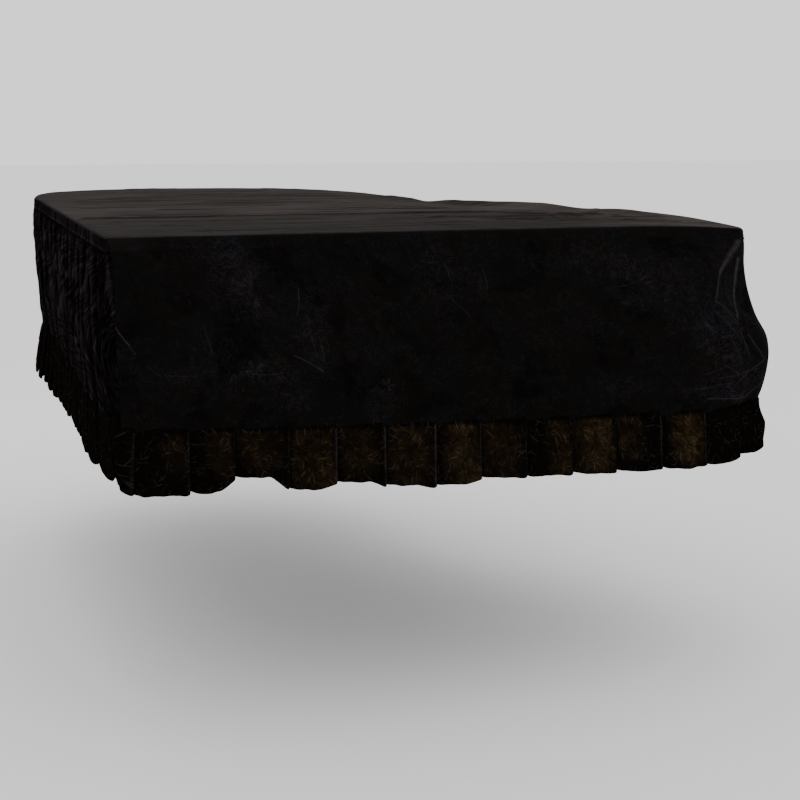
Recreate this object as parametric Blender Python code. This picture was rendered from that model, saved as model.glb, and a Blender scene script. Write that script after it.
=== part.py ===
"""Fitted velvet cover for a grand piano: a top cut in one with its front drop, a gathered side skirt
and a pleated ruffle sewn round the lower edge.

Metres, +Z up. The origin lies on the underside of the top, where it rests on the closed lid.
X = 0 is the middle of the lid's width, and +Y runs from the keyboard end towards the tail.
Distances "back" are measured from the lid's front edge, and a "depth" is a height below the lid.
"""
import bpy
import numpy as np

# Lid that the cover fits
LID_WIDTH = 1.50
FRONT_Y = -0.75
LEFT_CORNER_RADIUS = 0.014
RIGHT_CORNER_RADIUS = 0.035

# Points of the lid's curved outline behind its front corners, from the cheek round the tail to the spine
# columns: across from the middle, back from the front edge
CURVED_SIDE = [
    (0.750, 0.20),
    (0.749, 0.36),
    (0.735, 0.47),
    (0.672, 0.575),
    (0.565, 0.665),
    (0.432, 0.790),
    (0.352, 0.930),
    (0.325, 1.100),
    (0.318, 1.340),
    (0.270, 1.560),
    (0.130, 1.745),
    (-0.090, 1.825),
    (-0.330, 1.835),
    (-0.540, 1.770),
    (-0.665, 1.640),
    (-0.712, 1.470),
    (-0.722, 1.240),
    (-0.738, 0.640),
    (-0.748, 0.20),
]

# Cloth
SHEET = 0.0024              # velvet with its pile and backing
RUFFLE_SHEET = 0.0018
SEWN_GAP = 0.0003           # between pieces that are sewn edge to edge
SEAM_HOLD = 0.03            # reach of a corner seam, which flattens the folds beside it
EDGE_RADIUS = 0.010         # roll of the cloth over the lid's edge
BAND = 0.022                # turned-down edge of the top, above the skirt's seam
CORNER_SAG = 0.015          # slack top at the right front corner
CORNER_SAG_REACH = 0.30

# How the cover hangs, station by station round its lower edge
# columns: share of the way round, seam depth, hem depth, outward lean at the seam, flare of the ruffle
HANG = [
    (0.000, 0.366, 0.480, 0.014, 0.006),
    (0.060, 0.382, 0.486, 0.000, 0.004),
    (0.125, 0.393, 0.510, 0.000, 0.004),
    (0.200, 0.402, 0.518, 0.000, 0.004),
    (0.250, 0.396, 0.498, 0.004, -0.006),
    (0.320, 0.385, 0.505, 0.012, 0.012),
    (0.430, 0.372, 0.500, 0.006, 0.014),
    (0.560, 0.360, 0.498, 0.004, 0.014),
    (0.680, 0.356, 0.496, -0.004, 0.014),
    (0.780, 0.356, 0.500, -0.008, 0.012),
    (0.880, 0.360, 0.502, -0.004, 0.010),
    (0.960, 0.364, 0.494, 0.006, 0.008),
    (1.000, 0.366, 0.480, 0.014, 0.006),
]

# The front drop slopes out from under the lid's edge, and then hangs
# columns: depth, forward reach
MIDDLE_PROFILE = [
    (0.00, 0.000),
    (0.06, 0.034),
    (0.12, 0.072),
    (0.22, 0.133),
    (0.26, 0.155),
    (0.30, 0.163),
    (0.38, 0.166),
    (0.52, 0.186),
]
# columns: share of the way from the band down to the ruffle's seam, forward reach at the left and right ends
END_PROFILE = [
    (-0.065, 0.000, 0.000),
    (0.00, 0.040, 0.002),
    (0.12, 0.074, 0.012),
    (0.45, 0.090, 0.060),
    (0.80, 0.124, 0.130),
    (1.00, 0.146, 0.120),
    (1.40, 0.196, 0.138),
]
END_WIDTH = 0.10            # over which an end's profile turns into the middle's
FRONT_REACH = 0.36          # how far back the forward pull is felt along the sides

# Large folds of the front drop
# columns: from x, depth, to x, depth, height (out is positive), half width
FRONT_FOLDS = [
    (0.735, 0.030, 0.662, 0.150, 0.010, 0.030),
    (0.742, 0.070, 0.720, 0.210, -0.010, 0.028),
    (0.668, 0.170, 0.745, 0.250, 0.007, 0.026),
    (0.560, 0.350, 0.740, 0.325, -0.007, 0.028),
    (-0.742, 0.080, -0.700, 0.240, 0.006, 0.026),
    (-0.690, 0.080, -0.620, 0.330, -0.004, 0.040),
]

# Crease and long shallow wrinkles of the top, which lift the cloth off the lid
# columns: from x, back, to x, back, height, half width
TOP_FOLDS = [
    (-0.735, 0.530, 0.660, 0.530, 0.0025, 0.014),
    (-0.690, 0.620, 0.350, 0.606, 0.0030, 0.045),
    (-0.620, 1.040, 0.150, 1.000, 0.0035, 0.055),
    (-0.600, 1.300, 0.250, 1.330, 0.0040, 0.060),
    (0.080, 0.400, 0.640, 0.330, 0.0040, 0.045),
    (0.300, 0.230, 0.700, 0.170, 0.0040, 0.045),
]

# Stations of the grids: columns across, closer together by the folds, and rows from the front edge back
COLUMNS_ACROSS = [
    -0.736, -0.71, -0.68, -0.64, -0.58, -0.48, -0.36, -0.22, -0.07, 0.08,
    0.23, 0.37, 0.48, 0.56, 0.61, 0.645, 0.67, 0.69, 0.705, 0.715,
]
ROWS_BACK = [
    0.035, 0.09, 0.155, 0.225, 0.30, 0.37, 0.44, 0.516, 0.53, 0.544, 0.61,
    0.68, 0.82, 0.94, 1.02, 1.10, 1.20, 1.31, 1.42, 1.53, 1.64, 1.73,
]
SKIRT_ROWS = [0.0, 0.12, 0.45, 0.80, 1.0]
DROP_ROWS = [0.12, 0.22, 0.33, 0.45, 0.57, 0.67, 0.73, 0.80, 0.90, 1.0]      # holds every skirt row
RUFFLE_ROWS = [0.0, 0.42, 1.0]

# Gathers of the side skirt
FOLD_PITCH = 0.072
FOLD_POINTS = [(0.0, -0.4), (0.28, 0.4), (0.52, 0.6), (0.80, 0.05)]       # share of the fold, height
FOLD_HEIGHT = [(0.0, 0.0015), (0.12, 0.009), (0.45, 0.014), (0.80, 0.012), (1.0, 0.005)]   # share down, height
FOLD_DRIFT = 0.010
FOLD_UNEVEN = 0.32          # share of the pitch by which a fold's edges wander
LOWEST_FOLD = 0.55          # share of the height that the shallowest fold has
END_FOLD = 0.35             # and that the folds beside the corner seams have

# Pleats of the ruffle: where each folded edge shows along the front, and the hem's depth beside it
# columns: x, hem depth
FRONT_PLEATS = [
    (-0.730, 0.486),
    (-0.623, 0.487),
    (-0.528, 0.468),
    (-0.413, 0.502),
    (-0.311, 0.494),
    (-0.205, 0.508),
    (-0.091, 0.514),
    (0.013, 0.508),
    (0.119, 0.510),
    (0.226, 0.520),
    (0.335, 0.515),
    (0.448, 0.518),
    (0.560, 0.521),
    (0.660, 0.502),
]
PLEAT_PITCH = 0.108
PLEAT_LAP = 0.016
PLEAT_GAP = 0.0006
PLEAT_UNEVEN = 0.3          # share of the pitch by which a pleat wanders
PLEAT_OPENING = 0.8         # power of the share down with which a pleat opens: under 1, most of it near the seam
LEAST_OPENING = 0.7         # share of the opening that the tightest pleat has
OPENING_RANGE = 0.6
# One pleat in plan as it hangs open at the hem
# columns: share of its width along, distance out, extra depth of the hem
HANGING_PLEAT = [
    (0.000, -0.004, -0.004),
    (0.220, 0.006, 0.001),
    (0.580, 0.015, 0.003),
    (1.050, 0.018, 0.002),
    (1.055, 0.012, -0.003),
    (1.010, 0.004, -0.006),
]
HEM_UNEVEN = 0.010

VELVET = (0.012, 0.011, 0.016)
VELVET_ROUGHNESS = 0.85
SHEER_VELVET = (0.020, 0.015, 0.012)


def uneven(index, seed):
    """A repeatable share between 0 and 1 for each index, so that no two folds are alike."""
    value = np.sin(np.asarray(index, float) * 12.9898 + seed * 78.233) * 43758.5453
    return value - np.floor(value)


def ease(share):
    """A smooth step from 0 to 1."""
    share = np.clip(share, 0.0, 1.0)
    return share * share * (3.0 - 2.0 * share)


def column(table, index):
    """One column of a table as an array."""
    return np.array([row[index] for row in table])


def smooth_curve(points, steps):
    """A curve through the points: cubic spans whose slope at a point is that of its two neighbours."""
    points = np.array(points)
    chord = np.linalg.norm(np.diff(points, axis=0), axis=1)
    at = np.concatenate([[0.0], np.cumsum(chord)])
    slope = np.gradient(points, at, axis=0)
    share = np.arange(steps)[:, None] / steps
    spans = []
    for i, length in enumerate(chord):
        rise = points[i + 1] - points[i]
        bend = slope[i] * length - rise
        turn = rise - slope[i + 1] * length
        spans.append(points[i] + rise * share + share * (1 - share) * ((1 - share) * bend + share * turn))
    return np.vstack(spans)


def arc(centre, radius, start, end, steps=16):
    """Points along a corner's arc, its ends included, from one angle in degrees to another."""
    angle = np.radians(np.linspace(start, end, steps))
    return np.column_stack([centre[0] + radius * np.cos(angle), centre[1] + radius * np.sin(angle)])


def lid_outline():
    """The lid's outline in plan, counter-clockwise from the front left corner, as evenly spaced points."""
    half = LID_WIDTH / 2
    right = arc((half - RIGHT_CORNER_RADIUS, RIGHT_CORNER_RADIUS), RIGHT_CORNER_RADIUS, -90, 0)
    left = arc((-half + LEFT_CORNER_RADIUS, LEFT_CORNER_RADIUS), LEFT_CORNER_RADIUS, 180, 270)
    behind = smooth_curve([tuple(right[-1])] + CURVED_SIDE + [tuple(left[0])], 24)
    points = np.vstack([left[-1:], right, behind[1:], left])
    points[:, 1] += FRONT_Y
    along = np.concatenate([[0.0], np.cumsum(np.linalg.norm(np.diff(points, axis=0), axis=1))])
    even = np.linspace(0.0, along[-1], 3001)
    xy = np.column_stack([np.interp(even, along, points[:, 0]), np.interp(even, along, points[:, 1])])
    xy = xy[:-1]
    tangent = np.roll(xy, -2, axis=0) - np.roll(xy, 2, axis=0)
    tangent /= np.linalg.norm(tangent, axis=1)[:, None]
    return even[:-1], xy, np.column_stack([tangent[:, 1], -tangent[:, 0]]), even[-1]


ALONG, EDGE, OUTWARD, ROUND = lid_outline()
FRONT_LENGTH = LID_WIDTH - LEFT_CORNER_RADIUS - RIGHT_CORNER_RADIUS
LEFT_CORNER = -LEFT_CORNER_RADIUS * np.pi / 4
RIGHT_CORNER = FRONT_LENGTH + RIGHT_CORNER_RADIUS * np.pi / 4


def on_edge(along):
    """Place and outward direction in plan at distances along the lid's outline."""
    x, y, out_x, out_y = (
        np.interp(along, ALONG, values, period=ROUND)
        for values in (EDGE[:, 0], EDGE[:, 1], OUTWARD[:, 0], OUTWARD[:, 1])
    )
    return np.stack([x, y], axis=-1), np.stack([out_x, out_y], axis=-1)


def hang(along, index):
    """A column of the HANG table at distances along the outline."""
    share = np.asarray(along, float) / ROUND % 1.0
    return np.interp(share, column(HANG, 0), column(HANG, index))


def soft_ridges(across, down, table):
    """Sum of the table's folds: each is a smooth ridge along a segment, fading at its ends."""
    total = np.zeros(np.broadcast(across, down).shape)
    for x0, d0, x1, d1, height, half_width in table:
        length = np.hypot(x1 - x0, d1 - d0)
        ux, ud = (x1 - x0) / length, (d1 - d0) / length
        run = (across - x0) * ux + (down - d0) * ud
        aside = np.abs((down - d0) * ux - (across - x0) * ud)
        ends = ease(run / (2 * half_width)) * ease((length - run) / (2 * half_width))
        total = total + height * ends * ease(1.0 - aside / half_width)
    return total


def sag(place):
    """How far the slack top sinks at the right front corner."""
    corner = np.array([LID_WIDTH / 2, FRONT_Y])
    near = np.clip(1.0 - np.linalg.norm(place - corner, axis=-1) / CORNER_SAG_REACH, 0.0, 1.0)
    return CORNER_SAG * near * near


def forward(across, depth, seam):
    """Forward reach of the front drop: the middle's profile, and near either end that end's own."""
    near_end = ease(1.0 - (LID_WIDTH / 2 - RIGHT_CORNER_RADIUS - np.abs(across)) / END_WIDTH)
    middle = np.interp(depth, column(MIDDLE_PROFILE, 0), column(MIDDLE_PROFILE, 1))
    share = (depth - BAND) / (seam - BAND)
    left, right = (np.interp(share, column(END_PROFILE, 0), column(END_PROFILE, i)) for i in (1, 2))
    return middle + (np.where(across < 0, left, right) - middle) * near_end


def wall(along, depth, out=0.0):
    """The hanging cloth's inner face at a distance along the outline and a depth, moved out by out.

    The lid's outline goes down with its lean, the front third is drawn forward, and the sag of the
    corner fades with depth.
    """
    along, depth = np.broadcast_arrays(np.asarray(along, float), np.asarray(depth, float))
    place, outward = on_edge(along)
    seam = hang(along, 1)
    share = np.minimum(depth / seam, 1.0)
    away = hang(along, 3) * share + out
    plan = place + outward * away[..., None]
    near_front = 1.0 - ease((place[..., 1] - FRONT_Y - RIGHT_CORNER_RADIUS) / FRONT_REACH)
    plan[..., 1] -= forward(place[..., 0], depth, seam) * near_front
    z = -depth - sag(place) * (1.0 - share)
    return np.concatenate([plan, z[..., None]], axis=-1)


def front_wall(along, depth):
    """The front drop: the hanging cloth with its large folds, which the corner seams hold flat."""
    place, _ = on_edge(along)
    points = wall(along, depth)
    from_seam = np.minimum(along - LEFT_CORNER, RIGHT_CORNER - along)
    points[..., 1] -= soft_ridges(place[..., 0], depth, FRONT_FOLDS) * ease(from_seam / SEAM_HOLD)
    return points


def outline_side(back, left):
    """Distance along the outline where one of its sides is that far back."""
    top = int(np.argmax(EDGE[:, 1]))
    corner = np.searchsorted(ALONG, FRONT_LENGTH + RIGHT_CORNER_RADIUS * np.pi / 2)
    part = slice(len(EDGE) - 1, top, -1) if left else slice(corner, top)
    return np.interp(np.asarray(back) + FRONT_Y, EDGE[part, 1], ALONG[part])


def top_stations():
    """Distances along the outline of the top's four edges: front, right, tail and left."""
    straight = np.array(COLUMNS_ACROSS) + LID_WIDTH / 2 - LEFT_CORNER_RADIUS
    front = np.concatenate([[LEFT_CORNER], straight, [RIGHT_CORNER]])
    right = np.concatenate([[RIGHT_CORNER], outline_side(ROWS_BACK, left=False)])
    left = np.concatenate([[LEFT_CORNER + ROUND], outline_side(ROWS_BACK, left=True)])
    tail = np.linspace(left[-1], right[-1], len(front))
    return front, right, tail, left


def flat_top(front, right, tail, left):
    """The top's grid: each point is blended from the four edges, as a soap film on a frame would be."""
    def inset(along):
        place, outward = on_edge(along)
        return place - EDGE_RADIUS * outward
    across = ((front - front[0]) / (front[-1] - front[0]))[None, :, None]
    back = (np.array([0.0] + ROWS_BACK) / ROWS_BACK[-1])[:, None, None]
    near, far = inset(front)[None], inset(tail)[None]
    west, east = inset(left)[:, None], inset(right)[:, None]
    corners = (
        (1 - across) * (1 - back) * near[:, :1]
        + across * (1 - back) * near[:, -1:]
        + (1 - across) * back * far[:, :1]
        + across * back * far[:, -1:]
    )
    plan = (1 - across) * west + across * east + (1 - back) * near + back * far - corners
    lift = soft_ridges(plan[..., 0], plan[..., 1] - FRONT_Y, TOP_FOLDS)
    return np.concatenate([plan, (lift - sag(plan))[..., None]], axis=-1)


def edge_rings(chain):
    """The roll over the lid's edge and the turned-down band, as rings below the top's rim."""
    half = np.radians(45)
    rings = [
        (-EDGE_RADIUS * (1 - np.sin(half)), EDGE_RADIUS * (1 - np.cos(half))),
        (0.0, EDGE_RADIUS),
        (0.0, BAND),
    ]
    return np.stack([wall(chain, depth, out) for out, depth in rings])


def grid_faces(index, closed=False):
    """Four-sided faces of a grid of point numbers, whose rows run down and columns run along."""
    beside = np.roll(index, -1, axis=1) if closed else index[:, 1:]
    here = index if closed else index[:, :-1]
    faces = np.stack([here[:-1], here[1:], beside[1:], beside[:-1]], axis=-1)
    return faces.reshape(-1, 4).tolist()


def new_object(name, points, faces, material):
    """A mesh object at the origin."""
    mesh = bpy.data.meshes.new(name)
    mesh.from_pydata(points.tolist(), [], faces)
    mesh.materials.append(material)
    mesh.shade_smooth()
    obj = bpy.data.objects.new(name, mesh)
    bpy.context.scene.collection.objects.link(obj)
    return obj


def make_top(material):
    """The top and its front drop: one cut sheet, turned down over the lid's edge all round."""
    front, right, tail, left = top_stations()
    top = flat_top(front, right, tail, left)
    rows, columns = top.shape[:2]
    number = np.arange(rows * columns).reshape(rows, columns)
    chain = np.concatenate([front, right[1:], tail[-2::-1], left[-2:0:-1]])
    rim = np.concatenate([number[0], number[1:, -1], number[-1, -2::-1], number[-2:0:-1, 0]])
    rings = edge_rings(chain)
    ring_number = rows * columns + np.arange(rings[..., 0].size).reshape(rings.shape[:2])
    seam = hang(front, 1)
    depths = BAND + np.array(DROP_ROWS)[:, None] * (seam - BAND)[None, :]
    drop = front_wall(np.broadcast_to(front, depths.shape), depths)
    drop_number = ring_number[-1, -1] + 1 + np.arange(depths.size).reshape(depths.shape)
    points = np.vstack([top.reshape(-1, 3), rings.reshape(-1, 3), drop.reshape(-1, 3)])
    faces = grid_faces(number[::-1])
    faces += grid_faces(np.vstack([rim, ring_number]), closed=True)
    faces += grid_faces(np.vstack([ring_number[-1, :columns], drop_number]))
    obj = new_object("top_and_front_drop", points, faces, material)
    thicken = obj.modifiers.new("Sheet", "SOLIDIFY")
    thicken.thickness = SHEET
    thicken.offset = 1.0
    thicken.use_even_offset = True
    return obj


def offset_in_plan(rows, distance, closed):
    """Rows of points moved square to their run, with mitred corners, so that a folded sheet keeps its gauge."""
    plan = rows[..., :2]
    after = np.roll(plan, -1, axis=1)
    before = np.roll(plan, 1, axis=1)
    if not closed:
        after[:, -1] = 2 * plan[:, -1] - plan[:, -2]
        before[:, 0] = 2 * plan[:, 0] - plan[:, 1]
    sides = []
    for step in (plan - before, after - plan):
        step = step / np.linalg.norm(step, axis=-1, keepdims=True)
        sides.append(np.stack([step[..., 1], -step[..., 0]], axis=-1))
    cosine = np.sum(sides[0] * sides[1], axis=-1, keepdims=True)
    mitre = (sides[0] + sides[1]) / np.maximum(1.0 + cosine, 0.3)
    moved = rows.copy()
    moved[..., :2] += distance * mitre
    return moved


def make_strip(name, inner, thickness, closed, material):
    """A hanging strip as one closed solid: its inner face, its outer face and the rims between."""
    outer = offset_in_plan(inner, thickness, closed)
    rows, columns = inner.shape[:2]
    inside = np.arange(rows * columns).reshape(rows, columns)
    outside = inside + rows * columns
    faces = grid_faces(outside, closed)
    faces += grid_faces(inside[::-1], closed)
    faces += grid_faces(np.vstack([inside[0], outside[0]]), closed)
    faces += grid_faces(np.vstack([outside[-1], inside[-1]]), closed)
    if not closed:
        faces += grid_faces(np.column_stack([inside[:, 0], outside[:, 0]]))
        faces += grid_faces(np.column_stack([outside[:, -1], inside[:, -1]]))
    points = np.vstack([inner.reshape(-1, 3), outer.reshape(-1, 3)])
    return new_object(name, points, faces, material)


def skirt_folds(start, end):
    """Columns of the gathered skirt: distance along the outline, height share and sideways drift of each."""
    count = round((end - start) / FOLD_PITCH)
    step = (end - start) / count
    k = np.arange(count + 1)
    edges = start + step * (k + FOLD_UNEVEN * (uneven(k, 1) - 0.5))
    edges[0] = start
    edges[-1] = end
    drift = FOLD_DRIFT * (2 * uneven(k, 2) - 1)
    height = LOWEST_FOLD + (1.0 - LOWEST_FOLD) * uneven(k, 3)
    drift[[0, -1]] = 0.0
    height[[0, -2]] = END_FOLD
    along, share, slide = [], [], []
    for i in range(count):
        for at, rise in FOLD_POINTS:
            along.append(edges[i] + at * (edges[i + 1] - edges[i]))
            share.append(rise * height[i])
            slide.append(drift[i] + at * (drift[i + 1] - drift[i]))
    return np.array(along + [end]), np.array(share + [0.0]), np.array(slide + [0.0])


def make_skirt(material):
    """The side skirt, from the right front corner round the tail to the left front corner."""
    along, share, slide = skirt_folds(RIGHT_CORNER + SEWN_GAP, LEFT_CORNER + ROUND - SEWN_GAP)
    rows = []
    for down in SKIRT_ROWS:
        place = along + slide * down
        depth = BAND + SEWN_GAP + down * (hang(place, 1) - BAND - SEWN_GAP)
        height = np.interp(down, column(FOLD_HEIGHT, 0), column(FOLD_HEIGHT, 1))
        rows.append(wall(place, depth, height * share))
    return make_strip("side_skirt", np.stack(rows), SHEET, False, material)


def pleat_stations():
    """Where each pleat starts along the outline, under the one before it, and the hem's depth there."""
    half = LID_WIDTH / 2
    front = column(FRONT_PLEATS, 0) - PLEAT_LAP + half - LEFT_CORNER_RADIUS
    rest = ROUND - (front[-1] - front[0]) - PLEAT_PITCH
    count = round(rest / PLEAT_PITCH)
    k = np.arange(count)
    behind = front[-1] + PLEAT_PITCH + (k + PLEAT_UNEVEN * (uneven(k, 4) - 0.5)) * rest / count
    hem = hang(behind, 2) + HEM_UNEVEN * (2 * uneven(k, 5) - 1)
    return np.concatenate([front, behind]), np.concatenate([column(FRONT_PLEATS, 1), hem])


def sewn_pleat(width):
    """One pleat in plan as it is sewn: flat from under the last pleat, up onto it, and back under itself.

    columns: distance along, distance out
    """
    middle = 2 * RUFFLE_SHEET + PLEAT_GAP
    outer = middle + PLEAT_GAP
    clear = PLEAT_LAP + 0.003
    section = [
        (0.0, 0.0),
        (clear, 0.0),
        (0.55 * width, 0.6 * outer),
        (width + PLEAT_LAP, outer),
        (width + PLEAT_LAP, middle),
        (width, middle),
    ]
    return np.array(section)


def make_ruffle(material):
    """The pleated ruffle, a ring sewn to the lower edge of the front drop and the skirt."""
    starts, hems = pleat_stations()
    widths = np.diff(np.append(starts, starts[0] + ROUND))
    share_along, out, wave = (column(HANGING_PLEAT, i) for i in range(3))
    rows = []
    for down in RUFFLE_ROWS:
        opened = down ** PLEAT_OPENING
        columns = []
        for i, (start, width) in enumerate(zip(starts, widths)):
            sewn = sewn_pleat(width)
            opening = LEAST_OPENING + OPENING_RANGE * uneven(i, 6)
            hanging = np.column_stack([share_along * width, out * opening])
            section = sewn + (hanging - sewn) * opened
            along = start + section[:, 0]
            seam = hang(along, 1) + SEWN_GAP
            hem_here = np.interp(section[:, 0] / width, [0, 1], [hems[i], hems[(i + 1) % len(hems)]])
            depth = seam + down * (0.5 * (hems[i] + hem_here) + wave - seam)
            flare = hang(along, 4) * 2.0 * ease(0.5 * down)
            columns.append(wall(along, depth, section[:, 1] + flare))
        rows.append(np.vstack(columns))
    return make_strip("pleated_ruffle", np.stack(rows), RUFFLE_SHEET, True, material)


def cloth(name, colour):
    """A matt cloth."""
    material = bpy.data.materials.new(name)
    material.use_nodes = True
    shader = material.node_tree.nodes["Principled BSDF"]
    shader.inputs["Base Color"].default_value = (*colour, 1.0)
    shader.inputs["Roughness"].default_value = VELVET_ROUGHNESS
    shader.inputs["Metallic"].default_value = 0.0
    return material


def main():
    for obj in list(bpy.data.objects):
        bpy.data.objects.remove(obj)
    make_top(cloth("crushed velvet, top and front", VELVET))
    make_skirt(cloth("crushed velvet, side skirt", VELVET))
    make_ruffle(cloth("crushed velvet, ruffle", SHEER_VELVET))


if __name__ == "__main__":
    main()
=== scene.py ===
"""Looks of a fitted crushed velvet cover for a grand piano: its three cloth pieces and a plain studio.

Metres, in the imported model's frame: +Z is up, X = 0 is the middle of the lid's width, and +Y runs from
the front edge to the tail. The lid's upper face is at Z = 0. "Along" is a distance round the lid's
outline, counter-clockwise from the front left corner. "Back" is measured from the lid's front edge, and
a "depth" is a height below the lid.
"""

import bpy
import numpy as np
from bpy.props import FloatProperty, FloatVectorProperty, PointerProperty
from mathutils import Matrix


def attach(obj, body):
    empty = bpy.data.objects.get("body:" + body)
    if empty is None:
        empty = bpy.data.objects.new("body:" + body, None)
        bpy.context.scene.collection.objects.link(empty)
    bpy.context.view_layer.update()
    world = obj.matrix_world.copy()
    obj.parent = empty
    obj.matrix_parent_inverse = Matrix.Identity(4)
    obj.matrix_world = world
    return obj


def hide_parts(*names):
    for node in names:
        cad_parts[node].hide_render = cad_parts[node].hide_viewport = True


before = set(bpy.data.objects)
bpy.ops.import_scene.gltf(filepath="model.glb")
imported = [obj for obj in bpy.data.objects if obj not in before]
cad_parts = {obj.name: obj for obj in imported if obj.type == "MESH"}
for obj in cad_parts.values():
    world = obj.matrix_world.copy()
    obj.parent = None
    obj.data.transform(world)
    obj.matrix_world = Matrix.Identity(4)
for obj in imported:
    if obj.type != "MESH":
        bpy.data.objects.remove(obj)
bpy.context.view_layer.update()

bl_info = {
    "name": "Grand piano cover",
    "version": (1, 0, 0),
    "blender": (4, 5, 0),
    "location": "3D View > Sidebar > Cover",
    "description": "Builds a crushed velvet cover with gathered sides and a pleated ruffle",
    "category": "Add Mesh",
}

# Lid that the cover fits
LID_WIDTH = 1.50
FRONT_Y = -0.75
LEFT_CORNER_RADIUS = 0.014
RIGHT_CORNER_RADIUS = 0.035
TAIL_BACK = 1.73            # where the sides of the top's grid end and its tail begins
FLOOR_Z = -1.02

# Points of the lid's curved outline behind its front corners, from the cheek round the tail to the spine
# columns: across from the middle, back from the front edge
CURVED_SIDE = [
    (0.750, 0.20),
    (0.749, 0.36),
    (0.735, 0.47),
    (0.672, 0.575),
    (0.565, 0.665),
    (0.432, 0.790),
    (0.352, 0.930),
    (0.325, 1.100),
    (0.318, 1.340),
    (0.270, 1.560),
    (0.130, 1.745),
    (-0.090, 1.825),
    (-0.330, 1.835),
    (-0.540, 1.770),
    (-0.665, 1.640),
    (-0.712, 1.470),
    (-0.722, 1.240),
    (-0.738, 0.640),
    (-0.748, 0.20),
]

# Cloth
SHEET = 0.0020              # how far the velvet's face stands off the lid
SEAM_HOLD = 0.03            # reach of a corner seam, which flattens the folds beside it
SEAM_ALLOWANCE = 0.006      # cloth turned in behind a seam
EDGE_RADIUS = 0.007         # roll of the cloth over the lid's edge
BAND = 0.022                # turned-down edge of the top, above the skirt's seam
CORNER_SAG = 0.011          # slack top at the right front corner
CORNER_SAG_REACH = 0.30
CORNER_REACH = 0.15         # how far the bulge at that corner is felt along the edge

# Bulge of the hanging cloth at the right front corner
# columns: depth, distance out
CORNER_BULGE = [
    (0.000, 0.007),
    (0.040, 0.008),
    (0.085, 0.003),
    (0.160, 0.003),
    (0.205, 0.009),
    (0.245, 0.018),
    (0.280, 0.012),
    (0.320, 0.003),
    (0.370, -0.002),
    (0.415, -0.010),
    (0.450, -0.002),
    (0.490, -0.009),
]

# How the cover hangs, station by station round its lower edge
# columns: share of the way round, seam depth, hem depth, outward lean at the seam, flare of the ruffle
HANG = [
    (0.000, 0.366, 0.468, 0.012, -0.006),
    (0.012, 0.370, 0.484, 0.006, 0.002),
    (0.060, 0.382, 0.486, 0.000, 0.004),
    (0.125, 0.393, 0.510, 0.000, 0.004),
    (0.200, 0.402, 0.518, 0.000, 0.004),
    (0.250, 0.396, 0.508, 0.004, -0.006),
    (0.320, 0.385, 0.505, 0.012, 0.012),
    (0.430, 0.372, 0.500, 0.006, 0.014),
    (0.560, 0.360, 0.498, 0.004, 0.014),
    (0.660, 0.356, 0.496, -0.006, 0.016),
    (0.715, 0.356, 0.496, -0.018, 0.022),
    (0.780, 0.356, 0.494, -0.015, 0.018),
    (0.850, 0.358, 0.493, -0.010, 0.011),
    (0.930, 0.362, 0.490, -0.002, 0.006),
    (0.948, 0.363, 0.502, 0.002, 0.006),
    (0.968, 0.364, 0.500, 0.006, 0.002),
    (0.985, 0.365, 0.480, 0.010, -0.004),
    (1.000, 0.366, 0.468, 0.012, -0.006),
]

# The front drop slopes out from under the lid's edge, and then hangs
# columns: depth, forward reach
MIDDLE_PROFILE = [
    (0.00, 0.000),
    (0.06, 0.034),
    (0.12, 0.072),
    (0.22, 0.133),
    (0.26, 0.155),
    (0.30, 0.163),
    (0.38, 0.166),
    (0.52, 0.186),
]
# columns: share of the way from the band down to the ruffle's seam, forward reach at the left end
# and at the right
END_PROFILE = [
    (-0.065, 0.000, 0.000),
    (0.00, 0.040, 0.002),
    (0.12, 0.074, 0.012),
    (0.45, 0.090, 0.060),
    (0.80, 0.124, 0.130),
    (1.00, 0.146, 0.120),
    (1.40, 0.196, 0.138),
]
END_WIDTH = 0.10
FRONT_REACH = 0.36          # how far back the forward pull is felt along the sides

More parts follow.
